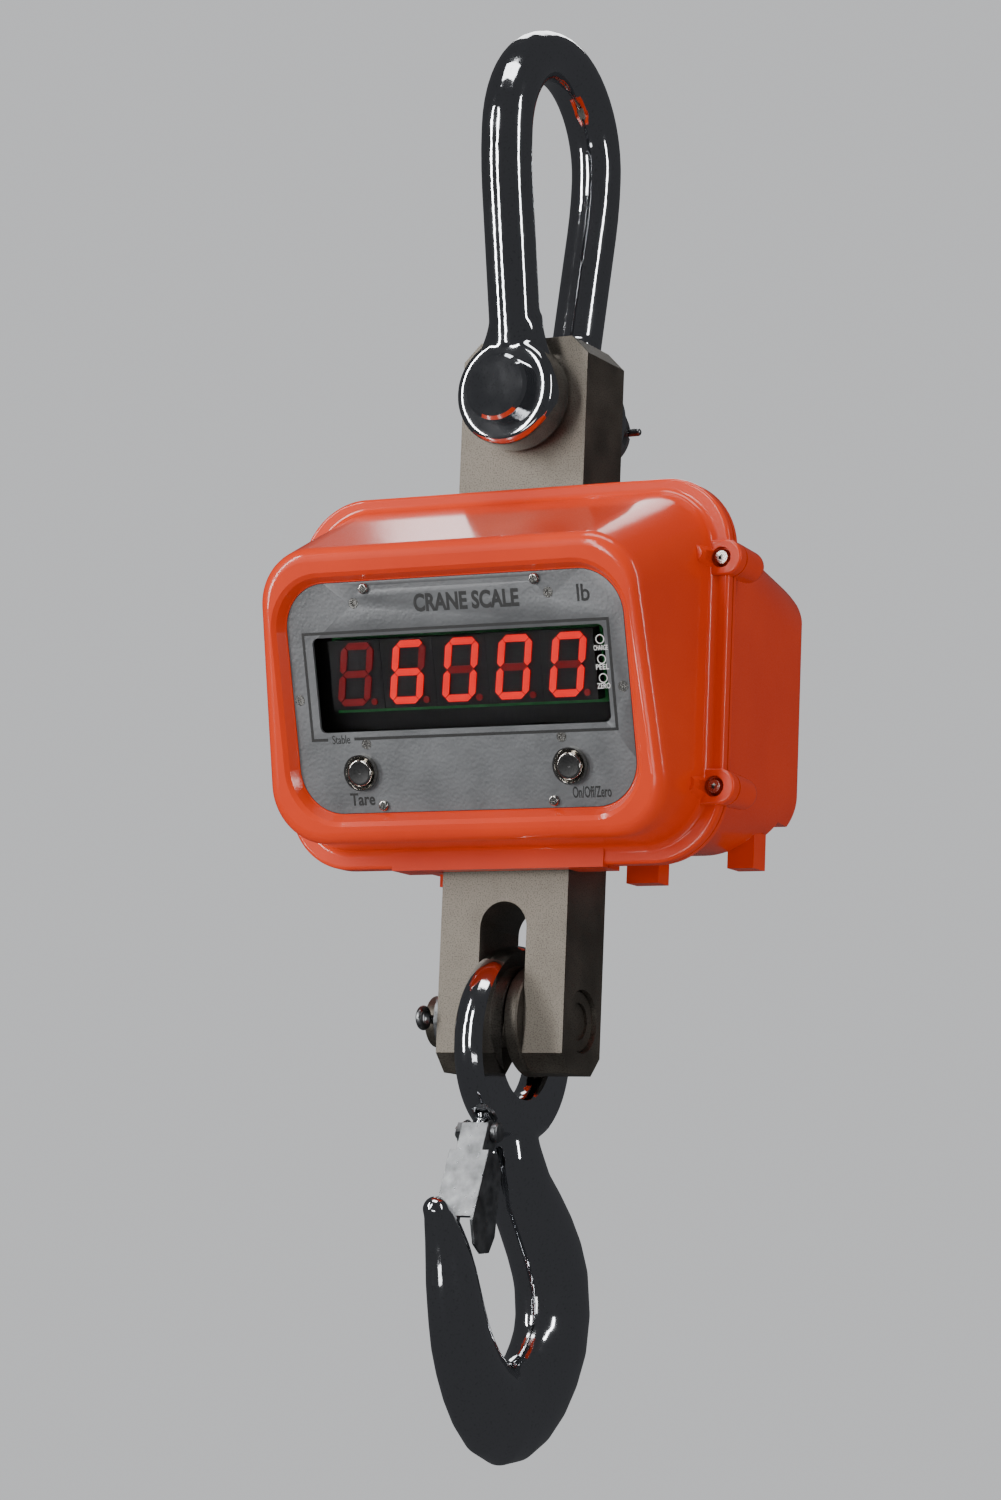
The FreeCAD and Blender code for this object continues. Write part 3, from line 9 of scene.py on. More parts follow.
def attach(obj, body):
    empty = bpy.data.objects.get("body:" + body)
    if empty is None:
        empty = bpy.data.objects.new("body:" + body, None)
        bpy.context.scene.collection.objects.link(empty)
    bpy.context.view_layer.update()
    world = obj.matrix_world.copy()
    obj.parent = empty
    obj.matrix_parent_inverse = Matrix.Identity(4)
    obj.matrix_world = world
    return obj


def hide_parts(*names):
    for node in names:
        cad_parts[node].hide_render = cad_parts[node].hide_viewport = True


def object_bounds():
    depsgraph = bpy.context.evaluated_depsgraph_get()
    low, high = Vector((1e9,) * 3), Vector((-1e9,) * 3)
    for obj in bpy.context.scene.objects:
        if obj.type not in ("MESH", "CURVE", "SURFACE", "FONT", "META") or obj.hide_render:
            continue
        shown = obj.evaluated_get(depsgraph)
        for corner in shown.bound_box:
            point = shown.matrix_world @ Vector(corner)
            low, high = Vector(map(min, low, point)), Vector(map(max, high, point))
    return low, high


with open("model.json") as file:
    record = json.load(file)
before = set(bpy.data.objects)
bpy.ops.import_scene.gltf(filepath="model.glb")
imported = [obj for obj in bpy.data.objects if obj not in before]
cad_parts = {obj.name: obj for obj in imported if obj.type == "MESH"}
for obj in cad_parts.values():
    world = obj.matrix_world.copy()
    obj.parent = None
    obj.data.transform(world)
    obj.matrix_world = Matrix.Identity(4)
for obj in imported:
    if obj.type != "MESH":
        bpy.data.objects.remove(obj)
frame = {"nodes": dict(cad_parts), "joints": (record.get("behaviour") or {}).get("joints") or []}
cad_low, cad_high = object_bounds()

# --- Camera -------------------------------------------------------------------------
# The camera hangs level with the bottom of the casing, to the right of the display,
# and looks slightly up at it through a long lens.
CAMERA_PLACE = Vector((0.887481, -1.684331, -0.609638))
CAMERA_YAW = math.radians(28.21)
CAMERA_PITCH = math.radians(8.226)
CAMERA_ROLL = math.radians(2.285)
look = Vector((-math.sin(CAMERA_YAW) * math.cos(CAMERA_PITCH),
               math.cos(CAMERA_YAW) * math.cos(CAMERA_PITCH),
               math.sin(CAMERA_PITCH)))
level_right = Vector((math.cos(CAMERA_YAW), math.sin(CAMERA_YAW), 0.0))
level_up = level_right.cross(look)
camera_right = math.cos(CAMERA_ROLL) * level_right + math.sin(CAMERA_ROLL) * level_up
camera_up = math.cos(CAMERA_ROLL) * level_up - math.sin(CAMERA_ROLL) * level_right
camera_axes = Matrix((camera_right, camera_up, -look)).transposed()
bpy.ops.object.camera_add()
camera = bpy.context.object
camera.name = "camera"
camera.matrix_world = Matrix.Translation(CAMERA_PLACE) @ camera_axes.to_4x4()
camera.data.sensor_width = 36.0
camera.data.lens = 95.03
bpy.context.scene.camera = camera


# --- Floor, room and lamps ----------------------------------------------------------
# A plain pale floor lies well below the hanging scale, in a pale, evenly lit room. What
# the bright metal mirrors is dim, so that the tall soft lamps draw clear streaks in it.
def new_material(name):
    """A node material: itself, its nodes, its links, its shader and its Object coordinates."""
    material = bpy.data.materials.new(name)
    material.use_nodes = True
    nodes = material.node_tree.nodes
    coordinates = nodes.new("ShaderNodeTexCoord").outputs["Object"]
    return material, nodes, material.node_tree.links, nodes["Principled BSDF"], coordinates


def noise(nodes, links, vector, scale, detail=3.0):
    """Noise with so many cycles to the metre."""
    texture = nodes.new("ShaderNodeTexNoise")
    texture.inputs["Scale"].default_value = scale
    texture.inputs["Detail"].default_value = detail
    links.new(vector, texture.inputs["Vector"])
    return texture.outputs["Fac"]


def ramp(nodes, links, value, stops):
    """A colour for each value, from stops of place and colour."""
    node = nodes.new("ShaderNodeValToRGB")
    while len(node.color_ramp.elements) < len(stops):
        node.color_ramp.elements.new(0.5)
    for element, (place, colour) in zip(node.color_ramp.elements, stops):
        element.position = place
        element.color = (*colour, 1.0)
    links.new(value, node.inputs["Fac"])
    return node.outputs["Color"]


def spread(nodes, links, value, low, high, start=0.3, end=0.7):
    """A noise value from start to end, moved into the range low to high."""
    node = nodes.new("ShaderNodeMapRange")
    node.inputs["From Min"].default_value = start
    node.inputs["From Max"].default_value = end
    node.inputs["To Min"].default_value = low
    node.inputs["To Max"].default_value = high
    links.new(value, node.inputs["Value"])
    return node.outputs["Result"]


def relief(nodes, links, shader, height, depth, below=None):
    """Fine relief on the surface; depth is in metres, and below is coarser relief under it."""
    node = nodes.new("ShaderNodeBump")
    node.inputs["Distance"].default_value = depth
    links.new(height, node.inputs["Height"])
    if below is not None:
        links.new(below.outputs["Normal"], node.inputs["Normal"])
    links.new(node.outputs["Normal"], shader.inputs["Normal"])
    return node


def tint(nodes, links, shader, value, stops):
    """Colours the surface by a value, from stops of place and colour."""
    links.new(ramp(nodes, links, value, stops), shader.inputs["Base Color"])


FLOOR_Z = -1.70
bpy.ops.object.select_all(action="DESELECT")
bpy.ops.mesh.primitive_plane_add(size=24.0, location=(0.0, 0.0, FLOOR_Z))
floor = bpy.context.object
floor.name = "floor"
floor_paint, nodes, links, shader, place = new_material("floor_paint")
cloud = noise(nodes, links, place, 3.0)
tint(nodes, links, shader, cloud, [(0.3, (0.74, 0.74, 0.74)), (0.7, (0.80, 0.80, 0.80))])
shader.inputs["Roughness"].default_value = 0.9
floor.data.materials.append(floor_paint)
floor.visible_glossy = False

room = bpy.data.worlds.new("room")
bpy.context.scene.world = room
room.use_nodes = True
room_nodes = room.node_tree.nodes
room_links = room.node_tree.links
seen = room_nodes["Background"]
seen.inputs["Color"].default_value = (0.80, 0.81, 0.83, 1.0)
seen.inputs["Strength"].default_value = 0.8
mirrored = room_nodes.new("ShaderNodeBackground")
mirrored.inputs["Color"].default_value = (0.055, 0.056, 0.06, 1.0)
filling = room_nodes.new("ShaderNodeBackground")
filling.inputs["Color"].default_value = (0.50, 0.505, 0.515, 1.0)
light_path = room_nodes.new("ShaderNodeLightPath")
room_light = filling
for ray, background in (("Is Glossy Ray", mirrored), ("Is Camera Ray", seen)):
    choice = room_nodes.new("ShaderNodeMixShader")
    room_links.new(light_path.outputs[ray], choice.inputs["Fac"])
    room_links.new(room_light.outputs[0], choice.inputs[1])
    room_links.new(background.outputs["Background"], choice.inputs[2])
    room_light = choice
room_links.new(room_light.outputs[0], room_nodes["World Output"].inputs["Surface"])

LAMPS = [
    ("left_lamp", (-1.5, -1.5, 0.1), (0.22, 1.9), 30.0),
    ("front_left_lamp", (-0.65, -2.3, 0.15), (0.30, 1.7), 22.0),
    ("right_lamp", (2.2, -0.35, 0.3), (0.22, 1.7), 16.0),
    ("top_lamp", (0.0, -0.7, 1.5), (1.3, 0.7), 17.0),
    ("low_lamp", (0.2, -2.0, -1.15), (0.8, 0.3), 3.0),
    ("back_lamp", (-0.9, 2.0, 1.9), (1.2, 1.4), 20.0),
]
middle = (cad_low + cad_high) / 2
for name, spot, size, watts in LAMPS:
    bpy.ops.object.light_add(type="AREA", location=spot)
    lamp = bpy.context.object
    lamp.name = name
    lamp.data.shape = "RECTANGLE"
    lamp.data.size, lamp.data.size_y = size
    lamp.data.energy = watts
    lamp.rotation_euler = (middle - Vector(spot)).to_track_quat("-Z", "Y").to_euler()


# --- Shackle bow --------------------------------------------------------------------
# A forged round bar, bent into a long bow. Its two ends are flattened into eyes for the
# pin, and the whole bow is polished and chromed.
joint_at = {joint["name"]: Vector(joint["pos_m"]) for joint in frame["joints"] if "pos_m" in joint}
PIN_R = 0.0125
BAR_R = 0.0125
CROWN_R = 0.0132
BOW_R = 0.0485
UPPER_BEND_R = 0.150
LOWER_BEND_R = 0.060
SLOPE = math.radians(11.3)
EYE_Y = 0.0314
EYE_R = 0.0265
EYE_HALF = 0.011
EYE_EDGE_R = 0.0042
PIN_CLEARANCE = 0.0003
CELL_CLEARANCE = 0.001
BOW_VOXEL = 0.0011
BOW_SMOOTHINGS = 9


def start_piece(name):
    """A new mesh piece with nothing in it, open in edit mode."""
    bpy.ops.object.select_all(action="DESELECT")
    bpy.ops.mesh.primitive_plane_add(size=0.01)
    piece = bpy.context.object
    piece.name = name
    bpy.ops.object.mode_set(mode="EDIT")
    bpy.ops.mesh.select_mode(type="VERT")
    bpy.ops.mesh.delete(type="VERT")
    return piece


def number_outline(piece):
    """Gives the newest outline a number, by which it is found again."""
    mesh = bmesh.from_edit_mesh(piece.data)
    tag = mesh.verts.layers.int.get("outline") or mesh.verts.layers.int.new("outline")
    number = max(v[tag] for v in mesh.verts) + 1
    for v in mesh.verts:
        if v[tag] == 0:
            v[tag] = number
    bmesh.update_edit_mesh(piece.data)
    return number


def pick_outlines(piece, numbers):
    """Selects the edges of these outlines and nothing else."""
    bpy.ops.mesh.select_all(action="DESELECT")
    mesh = bmesh.from_edit_mesh(piece.data)
    tag = mesh.verts.layers.int["outline"]
    for v in mesh.verts:
        v.select = v[tag] in numbers
    mesh.select_flush(True)
    bmesh.update_edit_mesh(piece.data)


def bridge_outlines(piece, numbers, closed=False):
    """Skins each outline to the next one, and the last to the first where it is closed."""
    pairs = list(zip(numbers, numbers[1:]))
    if closed:
        pairs.append((numbers[-1], numbers[0]))
    for pair in pairs:
        pick_outlines(piece, pair)
        bpy.ops.mesh.bridge_edge_loops()


def add_oval(piece, spot, along, half_across, half_x, sides=40):
    """An oval outline in the plane of the load line, square to the direction along."""
    lean = math.atan2(-along.y, along.z)
    bpy.ops.mesh.select_all(action="DESELECT")
    bpy.ops.mesh.primitive_circle_add(vertices=sides, radius=half_across, location=spot,
                                      rotation=(lean, 0.0, 0.0))
    bpy.ops.transform.resize(value=(half_x / half_across, 1.0, 1.0), center_override=spot)
    return number_outline(piece)


def skin_ovals(piece, ovals):
    """A bar through ovals of spot, direction, half thickness across and half width in X."""
    numbers = [add_oval(piece, *oval) for oval in ovals]
    bridge_outlines(piece, numbers)
    for end in (numbers[0], numbers[-1]):
        pick_outlines(piece, [end])
        bpy.ops.mesh.edge_face_add()


def apply_modifier(piece, kind, **settings):
    """Adds one modifier to the piece and applies it."""
    bpy.ops.object.select_all(action="DESELECT")
    piece.select_set(True)
    bpy.context.view_layer.objects.active = piece
    bpy.ops.object.modifier_add(type=kind)
    modifier = piece.modifiers[-1]
    for key, value in settings.items():
        setattr(modifier, key, value)
    bpy.ops.object.modifier_apply(modifier=modifier.name)


def close_piece(piece, angle):
    """Leaves edit mode with every face turned outwards and edges under the angle smooth."""
    bpy.ops.object.mode_set(mode="EDIT")
    bpy.ops.mesh.select_all(action="SELECT")
    bpy.ops.mesh.normals_make_consistent(inside=False)
    bpy.ops.object.mode_set(mode="OBJECT")
    bpy.ops.object.shade_smooth_by_angle(angle=math.radians(angle))


def cut_away(piece, tool, operation="DIFFERENCE"):
    """Cuts the tool out of the piece, or joins it on, and takes the tool away."""
    apply_modifier(piece, "BOOLEAN", operation=operation, object=tool, solver="EXACT")
    bpy.data.objects.remove(tool)


def add_rod(spot, axis, radius, length, sides=64):
    """A plain rod about its middle, to cut with."""
    turn = Vector(axis).to_track_quat("Z", "Y").to_euler()
    bpy.ops.object.select_all(action="DESELECT")
    bpy.ops.mesh.primitive_cylinder_add(vertices=sides, radius=radius, depth=length, location=spot,
                                        rotation=turn)
    return bpy.context.object


def settle(piece):
    """Puts the piece's place and turn into its mesh, so that its object is at the origin."""
    bpy.ops.object.select_all(action="DESELECT")
    piece.select_set(True)
    bpy.context.view_layer.objects.active = piece
    bpy.ops.object.transform_apply(location=True, rotation=True, scale=True)


pin_z = joint_at["scale_swing"].z
arc_z = CROWN_R - BOW_R
bend_y = BOW_R - UPPER_BEND_R * (1 - math.cos(SLOPE))
bend_z = arc_z - UPPER_BEND_R * math.sin(SLOPE)
low_y = EYE_Y + LOWER_BEND_R * (1 - math.cos(SLOPE))
low_z = bend_z - (bend_y - low_y) / math.tan(SLOPE)
low_end_z = low_z - LOWER_BEND_R * math.sin(SLOPE)
half_bow = []
for step in range(13):
    turn = math.radians(7.5 * step)
    bar = CROWN_R + (BAR_R - CROWN_R) * step / 12
    half_bow.append((BOW_R * math.sin(turn), arc_z + BOW_R * math.cos(turn), -turn, bar, bar))
for step in range(1, 4):
    turn = SLOPE * step / 3
    y = BOW_R - UPPER_BEND_R * (1 - math.cos(turn))
    half_bow.append((y, arc_z - UPPER_BEND_R * math.sin(turn), -math.pi / 2 - turn, BAR_R, BAR_R))
for step in range(3):
    turn = SLOPE * (1 - step / 2)
    y = EYE_Y + LOWER_BEND_R * (1 - math.cos(turn))
    half_bow.append((y, low_end_z + LOWER_BEND_R * math.sin(turn), -math.pi / 2 - turn, BAR_R, BAR_R))
# the bar widens into the eye and flattens to the eye's thickness
BOW_FLARE = (
    (0.040, 0.0125, 0.0128), (0.034, 0.0124, 0.0136), (0.029, 0.0121, 0.0150),
    (0.024, 0.0116, 0.0172), (0.019, 0.0110, 0.0200), (0.012, 0.0106, 0.0225),
)
for above, half_across, half_x in BOW_FLARE:
    half_bow.append((EYE_Y, pin_z + above, -math.pi / 2, half_across, half_x))
bow_ovals = []
for y, z, turn, half_across, half_x in reversed(half_bow[1:]):
    along = Vector((0.0, math.cos(turn), -math.sin(turn)))
    bow_ovals.append((Vector((0.0, -y, z)), along, half_across, half_x))
for y, z, turn, half_across, half_x in half_bow:
    along = Vector((0.0, math.cos(turn), math.sin(turn)))
    bow_ovals.append((Vector((0.0, y, z)), along, half_across, half_x))
bow = start_piece("bow")
skin_ovals(bow, bow_ovals)
for side in (-1, 1):
    bpy.ops.mesh.select_all(action="DESELECT")
    bpy.ops.mesh.primitive_cylinder_add(vertices=72, radius=EYE_R, depth=2 * EYE_HALF,
                                        location=(0.0, side * EYE_Y, pin_z),
                                        rotation=(math.pi / 2, 0.0, 0.0))
    mesh = bmesh.from_edit_mesh(bow.data)
    for edge in mesh.edges:
        same_y = abs(edge.verts[0].co.y - edge.verts[1].co.y) < 1e-5
        edge.select = edge.select and same_y
    bmesh.update_edit_mesh(bow.data)
    bpy.ops.mesh.bevel(offset=EYE_EDGE_R, segments=5, affect="EDGES", clamp_overlap=False)
close_piece(bow, 60)
apply_modifier(bow, "REMESH", mode="VOXEL", voxel_size=BOW_VOXEL)
apply_modifier(bow, "SMOOTH", factor=0.5, iterations=BOW_SMOOTHINGS)
cut_away(bow, add_rod((0.0, 0.0, pin_z), (0, 1, 0), PIN_R + PIN_CLEARANCE, 0.12))
# the inner faces of the eyes are milled flat, to clear the load cell
cell_top = max(corner[2] for corner in frame["nodes"]["load_cell"].bound_box) + CELL_CLEARANCE
bpy.ops.object.select_all(action="DESELECT")
bpy.ops.mesh.primitive_cube_add(size=1.0, location=(0.0, 0.0, cell_top - 0.05),
                                scale=(0.08, 2 * (EYE_Y - EYE_HALF), 0.1))
cut_away(bow, bpy.context.object)
close_piece(bow, 50)


def add_chrome(name, tint, haze):
    """Bright chrome over a polished forging: near mirror, with faint pits and wiped haze."""
    material, nodes, links, shader, place = new_material(name)
    pits = noise(nodes, links, place, 900.0, 2.0)
    waves = noise(nodes, links, place, 60.0, 3.0)
    colour = ramp(nodes, links, pits, [(0.30, tuple(0.80 * c for c in tint)), (0.42, tint)])
    links.new(colour, shader.inputs["Base Color"])
    links.new(spread(nodes, links, waves, 0.04, haze), shader.inputs["Roughness"])
    shader.inputs["Metallic"].default_value = 1.0
    coarse = relief(nodes, links, shader, waves, 0.00010)
    relief(nodes, links, shader, pits, 0.000012, coarse)
    return material


chrome = add_chrome("chrome", (0.56, 0.57, 0.59), 0.11)
bow.data.materials.clear()
bow.data.materials.append(chrome)
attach(bow, "shackle")
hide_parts("shackle_bow")


# --- Hook ---------------------------------------------------------------------------
# A forged eye hook, chromed like the bow. Its eye is a fat ring with a flat machined on
# each side, and its neck swells into the body that sweeps round to a slim tip.
HOOK_X = -0.002
EYE_RING_R = 0.036
EYE_BAR_R = 0.012
EYE_FLATS = ((1, 0.0070), (-1, 0.0095))
EYE_HANG = 0.0114
LUG_X = HOOK_X - 0.0021
LUG_R = 0.0052
LUG_WIDTH = 0.0062
LATCH_HOLE_R = 0.0031
HOOK_VOXEL = 0.00105
HOOK_SMOOTHINGS = 10
HOOK_OVALS = [
    (0.0, -0.5080, 0.0140, 0.0095), (0.0005, -0.5180, 0.0150, 0.0112),
    (0.0020, -0.5290, 0.0170, 0.0130), (0.0110, -0.5455, 0.0190, 0.0145),
    (0.0235, -0.5575, 0.0210, 0.0150), (0.0340, -0.5680, 0.0225, 0.0155),
    (0.0425, -0.5785, 0.0237, 0.0158), (0.0478, -0.5880, 0.0245, 0.0160),
    (0.0510, -0.6050, 0.0250, 0.0160), (0.0490, -0.6180, 0.0250, 0.0160),
    (0.0430, -0.6290, 0.0250, 0.0158), (0.0350, -0.6385, 0.0249, 0.0156),
    (0.0250, -0.6460, 0.0248, 0.0154), (0.0130, -0.6510, 0.0247, 0.0152),
    (0.0010, -0.6525, 0.0244, 0.0150), (-0.0105, -0.6495, 0.0236, 0.0146),
    (-0.0205, -0.6432, 0.0225, 0.0140), (-0.0290, -0.6355, 0.0213, 0.0135),
    (-0.0365, -0.6265, 0.0200, 0.0130), (-0.0425, -0.6170, 0.0190, 0.0125),
    (-0.0470, -0.6070, 0.0178, 0.0119), (-0.0505, -0.5980, 0.0168, 0.0114),
    (-0.0540, -0.5890, 0.0157, 0.0108), (-0.0585, -0.5780, 0.0134, 0.0096),
    (-0.0635, -0.5690, 0.0110, 0.0081), (-0.0680, -0.5630, 0.0088, 0.0068),
    (-0.0712, -0.5590, 0.0067, 0.0056),
]
hook_pin_at = joint_at["hook_swing"]
latch_at = joint_at["latch_open"]
eye_z = hook_pin_at.z - EYE_HANG
hook = start_piece("hook_forging")
ovals = []
for i, (y, z, half_across, half_x) in enumerate(HOOK_OVALS):
    before = HOOK_OVALS[max(i - 1, 0)]
    after = HOOK_OVALS[min(i + 1, len(HOOK_OVALS) - 1)]
    along = Vector((0.0, after[0] - before[0], after[1] - before[1])).normalized()
    ovals.append((Vector((HOOK_X, y, z)), along, half_across, half_x))
skin_ovals(hook, ovals)
bpy.ops.mesh.select_all(action="DESELECT")
bpy.ops.mesh.primitive_uv_sphere_add(segments=32, ring_count=16, radius=HOOK_OVALS[-1][3] + 0.0006,
                                     location=(HOOK_X, -0.0716, -0.5588))
bpy.ops.mesh.primitive_torus_add(major_segments=96, minor_segments=40, major_radius=EYE_RING_R,
                                 minor_radius=EYE_BAR_R, location=(HOOK_X, 0.0, eye_z),
                                 rotation=(0.0, math.pi / 2, 0.0))
bpy.ops.mesh.select_all(action="DESELECT")
bpy.ops.mesh.primitive_uv_sphere_add(segments=32, ring_count=16, radius=1.0, location=(HOOK_X, 0.0, -0.5145),
                                     scale=(0.0088, 0.0175, 0.0135))
bpy.ops.mesh.select_all(action="DESELECT")
bpy.ops.mesh.primitive_cylinder_add(vertices=40, radius=LUG_R, depth=LUG_WIDTH,
                                    location=(LUG_X, latch_at.y, latch_at.z),
                                    rotation=(0.0, math.pi / 2, 0.0))
bpy.ops.mesh.select_all(action="DESELECT")
bpy.ops.mesh.primitive_cube_add(size=1.0, location=(LUG_X, -0.0195, latch_at.z),
                                scale=(LUG_WIDTH, 0.022, 0.0104))
close_piece(hook, 60)
apply_modifier(hook, "REMESH", mode="VOXEL", voxel_size=HOOK_VOXEL)
apply_modifier(hook, "SMOOTH", factor=0.5, iterations=HOOK_SMOOTHINGS)
# the flats on the eye, machined after forging, and the hole for the latch bolt
for side, flat in EYE_FLATS:
    bpy.ops.object.select_all(action="DESELECT")
    bpy.ops.mesh.primitive_cube_add(size=1.0, location=(HOOK_X + side * (flat + 0.01), 0.0, eye_z + 0.0055),
                                    scale=(0.02, 0.12, 0.086))
    cut_away(hook, bpy.context.object)
cut_away(hook, add_rod((HOOK_X, latch_at.y, latch_at.z), (1, 0, 0), LATCH_HOLE_R, 0.04))
close_piece(hook, 40)
hook.data.materials.clear()
hook.data.materials.append(chrome)
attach(hook, "hook")
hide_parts("hook")


# --- Painted castings ---------------------------------------------------------------
# The front cover, the rear housing and the battery door are die castings in a thick,
# glossy orange-red powder coat, with a slight orange peel and a fine sparkle.
paint, nodes, links, shader, place = new_material("orange_paint")
cloud = noise(nodes, links, place, 14.0, 4.0)
peel = noise(nodes, links, place, 420.0, 2.0)
pores = noise(nodes, links, place, 1500.0, 1.0)
tone = ramp(nodes, links, cloud, [(0.30, (0.60, 0.030, 0.0010)), (0.70, (0.70, 0.040, 0.0015))])
links.new(tone, shader.inputs["Base Color"])
links.new(spread(nodes, links, pores, 0.40, 0.52), shader.inputs["Roughness"])
shader.inputs["Specular IOR Level"].default_value = 0.2
shader.inputs["Coat Weight"].default_value = 0.85
shader.inputs["Coat Roughness"].default_value = 0.13
peel_relief = relief(nodes, links, shader, peel, 0.000025)
relief(nodes, links, shader, pores, 0.000005, peel_relief)
links.new(peel_relief.outputs["Normal"], shader.inputs["Coat Normal"])
for name in ("front_cover", "rear_housing", "battery_door"):
    frame["nodes"][name].data.materials.clear()
    frame["nodes"][name].data.materials.append(paint)


# --- Load cell ----------------------------------------------------------------------
# A bar of bare alloy steel, sawn, milled and ground. Its faces are a warm grey with a
# fine dark speckle and faint cloudy stains, and its edges are only just broken.
cell_steel, nodes, links, shader, place = new_material("cell_steel")
speckle = noise(nodes, links, place, 1500.0, 2.0)
stain = noise(nodes, links, place, 38.0, 5.0)
shade = ramp(nodes, links, stain, [(0.30, (0.115, 0.102, 0.085)), (0.72, (0.20, 0.18, 0.152))])
dots = ramp(nodes, links, speckle, [(0.36, (0.45, 0.43, 0.40)), (0.50, (1.0, 1.0, 1.0))])
blend = nodes.new("ShaderNodeMix")
blend.data_type = "RGBA"
blend.blend_type = "MULTIPLY"
blend.inputs["Factor"].default_value = 0.75
links.new(shade, blend.inputs[6])
links.new(dots, blend.inputs[7])
links.new(blend.outputs[2], shader.inputs["Base Color"])
links.new(spread(nodes, links, stain, 0.38, 0.55), shader.inputs["Roughness"])
shader.inputs["Metallic"].default_value = 0.85
relief(nodes, links, shader, speckle, 0.00003)


def dress(names, material):
    """Gives CAD nodes their finish."""
    for name in names:
        frame["nodes"][name].data.materials.clear()
        frame["nodes"][name].data.materials.append(material)


def break_edges(name, width, angle=40.0):
    """Breaks a CAD node's sharp edges, over a mesh whose loose triangles are welded first."""
    node = frame["nodes"][name]
    weld = node.modifiers.new("weld", "WELD")
    weld.merge_threshold = 1e-5
    flat = node.modifiers.new("flat", "DECIMATE")
    flat.decimate_type = "DISSOLVE"
    flat.angle_limit = math.radians(0.5)
    edge = node.modifiers.new("edge", "BEVEL")
    edge.width = width
    edge.segments = 2
    edge.limit_method = "ANGLE"
    edge.angle_limit = math.radians(angle)
    edge.harden_normals = True


dress(["load_cell", "gauge_covers", "hook_pin", "hook_spacer"], cell_steel)
break_edges("load_cell", 0.0004)

# --- Shackle pin and its nut --------------------------------------------------------
# The pin is turned from bar and chromed with the bow. Its washer, nut and split pin, and
# those of the hook pin, are zinc plated, as are the latch, its bolt and the brackets.
dress(["shackle_pin"], chrome)
zinc, nodes, links, shader, place = new_material("zinc_plate")
flakes = nodes.new("ShaderNodeTexVoronoi")
flakes.inputs["Scale"].default_value = 260.0
links.new(place, flakes.inputs["Vector"])
mottle = noise(nodes, links, place, 120.0, 4.0)
tone = ramp(nodes, links, mottle, [(0.30, (0.16, 0.165, 0.17)), (0.70, (0.40, 0.41, 0.42))])
links.new(tone, shader.inputs["Base Color"])
links.new(spread(nodes, links, flakes.outputs["Distance"], 0.22, 0.42, 0.0, 0.6), shader.inputs["Roughness"])
shader.inputs["Metallic"].default_value = 1.0
relief(nodes, links, shader, mottle, 0.00003)
dress(["shackle_washer", "shackle_nut", "shackle_split_pin", "hook_pin_washer", "hook_split_pin",
       "safety_latch", "latch_bolt", "latch_nut", "left_bracket", "right_bracket"], zinc)
break_edges("safety_latch", 0.0003)

# --- Latch spring -------------------------------------------------------------------
# Drawn music wire, oiled dark.
wire, nodes, links, shader, place = new_material("spring_wire")
drawn = noise(nodes, links, place, 700.0)
tint(nodes, links, shader, drawn, [(0.3, (0.10, 0.10, 0.11)), (0.7, (0.22, 0.22, 0.23))])
links.new(spread(nodes, links, drawn, 0.25, 0.40), shader.inputs["Roughness"])
shader.inputs["Metallic"].default_value = 1.0
dress(["latch_spring"], wire)

# --- Screws -------------------------------------------------------------------------
# Stainless socket screws hold the cover, and small cross-recessed screws the panel.
stainless, nodes, links, shader, place = new_material("stainless_steel")
lathe = noise(nodes, links, place, 1800.0, 2.0)
tint(nodes, links, shader, lathe, [(0.3, (0.38, 0.37, 0.35)), (0.7, (0.62, 0.61, 0.58))])
links.new(spread(nodes, links, lathe, 0.16, 0.30), shader.inputs["Roughness"])
shader.inputs["Metallic"].default_value = 1.0
dress(["cover_screws", "bracket_screws", "panel_screws", "carrier_screws", "tray_screws", "door_screws"],
      stainless)

# --- Display panel ------------------------------------------------------------------
# A flat aluminium plate in grey hammer-finish paint, with fine dimples and a dull sheen.
hammer, nodes, links, shader, place = new_material("panel_hammer_finish")
dimple = nodes.new("ShaderNodeTexVoronoi")
dimple.feature = "SMOOTH_F1"
dimple.inputs["Scale"].default_value = 620.0
links.new(place, dimple.inputs["Vector"])
patch = noise(nodes, links, place, 45.0, 4.0)
tint(nodes, links, shader, patch, [(0.30, (0.12, 0.124, 0.128)), (0.70, (0.155, 0.16, 0.165))])
shader.inputs["Metallic"].default_value = 0.45
links.new(spread(nodes, links, patch, 0.36, 0.48), shader.inputs["Roughness"])
relief(nodes, links, shader, dimple.outputs["Distance"], 0.00010)
dress(["control_panel"], hammer)
break_edges("control_panel", 0.00025)

# --- Display window -----------------------------------------------------------------
# Smoked clear acrylic, flush in the panel. The lit digits show through it.
smoked, nodes, links, shader, place = new_material("smoked_acrylic")
haze = noise(nodes, links, place, 90.0)
tint(nodes, links, shader, haze, [(0.3, (0.62, 0.62, 0.63)), (0.7, (0.66, 0.66, 0.67))])
links.new(spread(nodes, links, haze, 0.015, 0.04), shader.inputs["Roughness"])
shader.inputs["Transmission Weight"].default_value = 1.0
shader.inputs["IOR"].default_value = 1.10
dress(["display_window"], smoked)

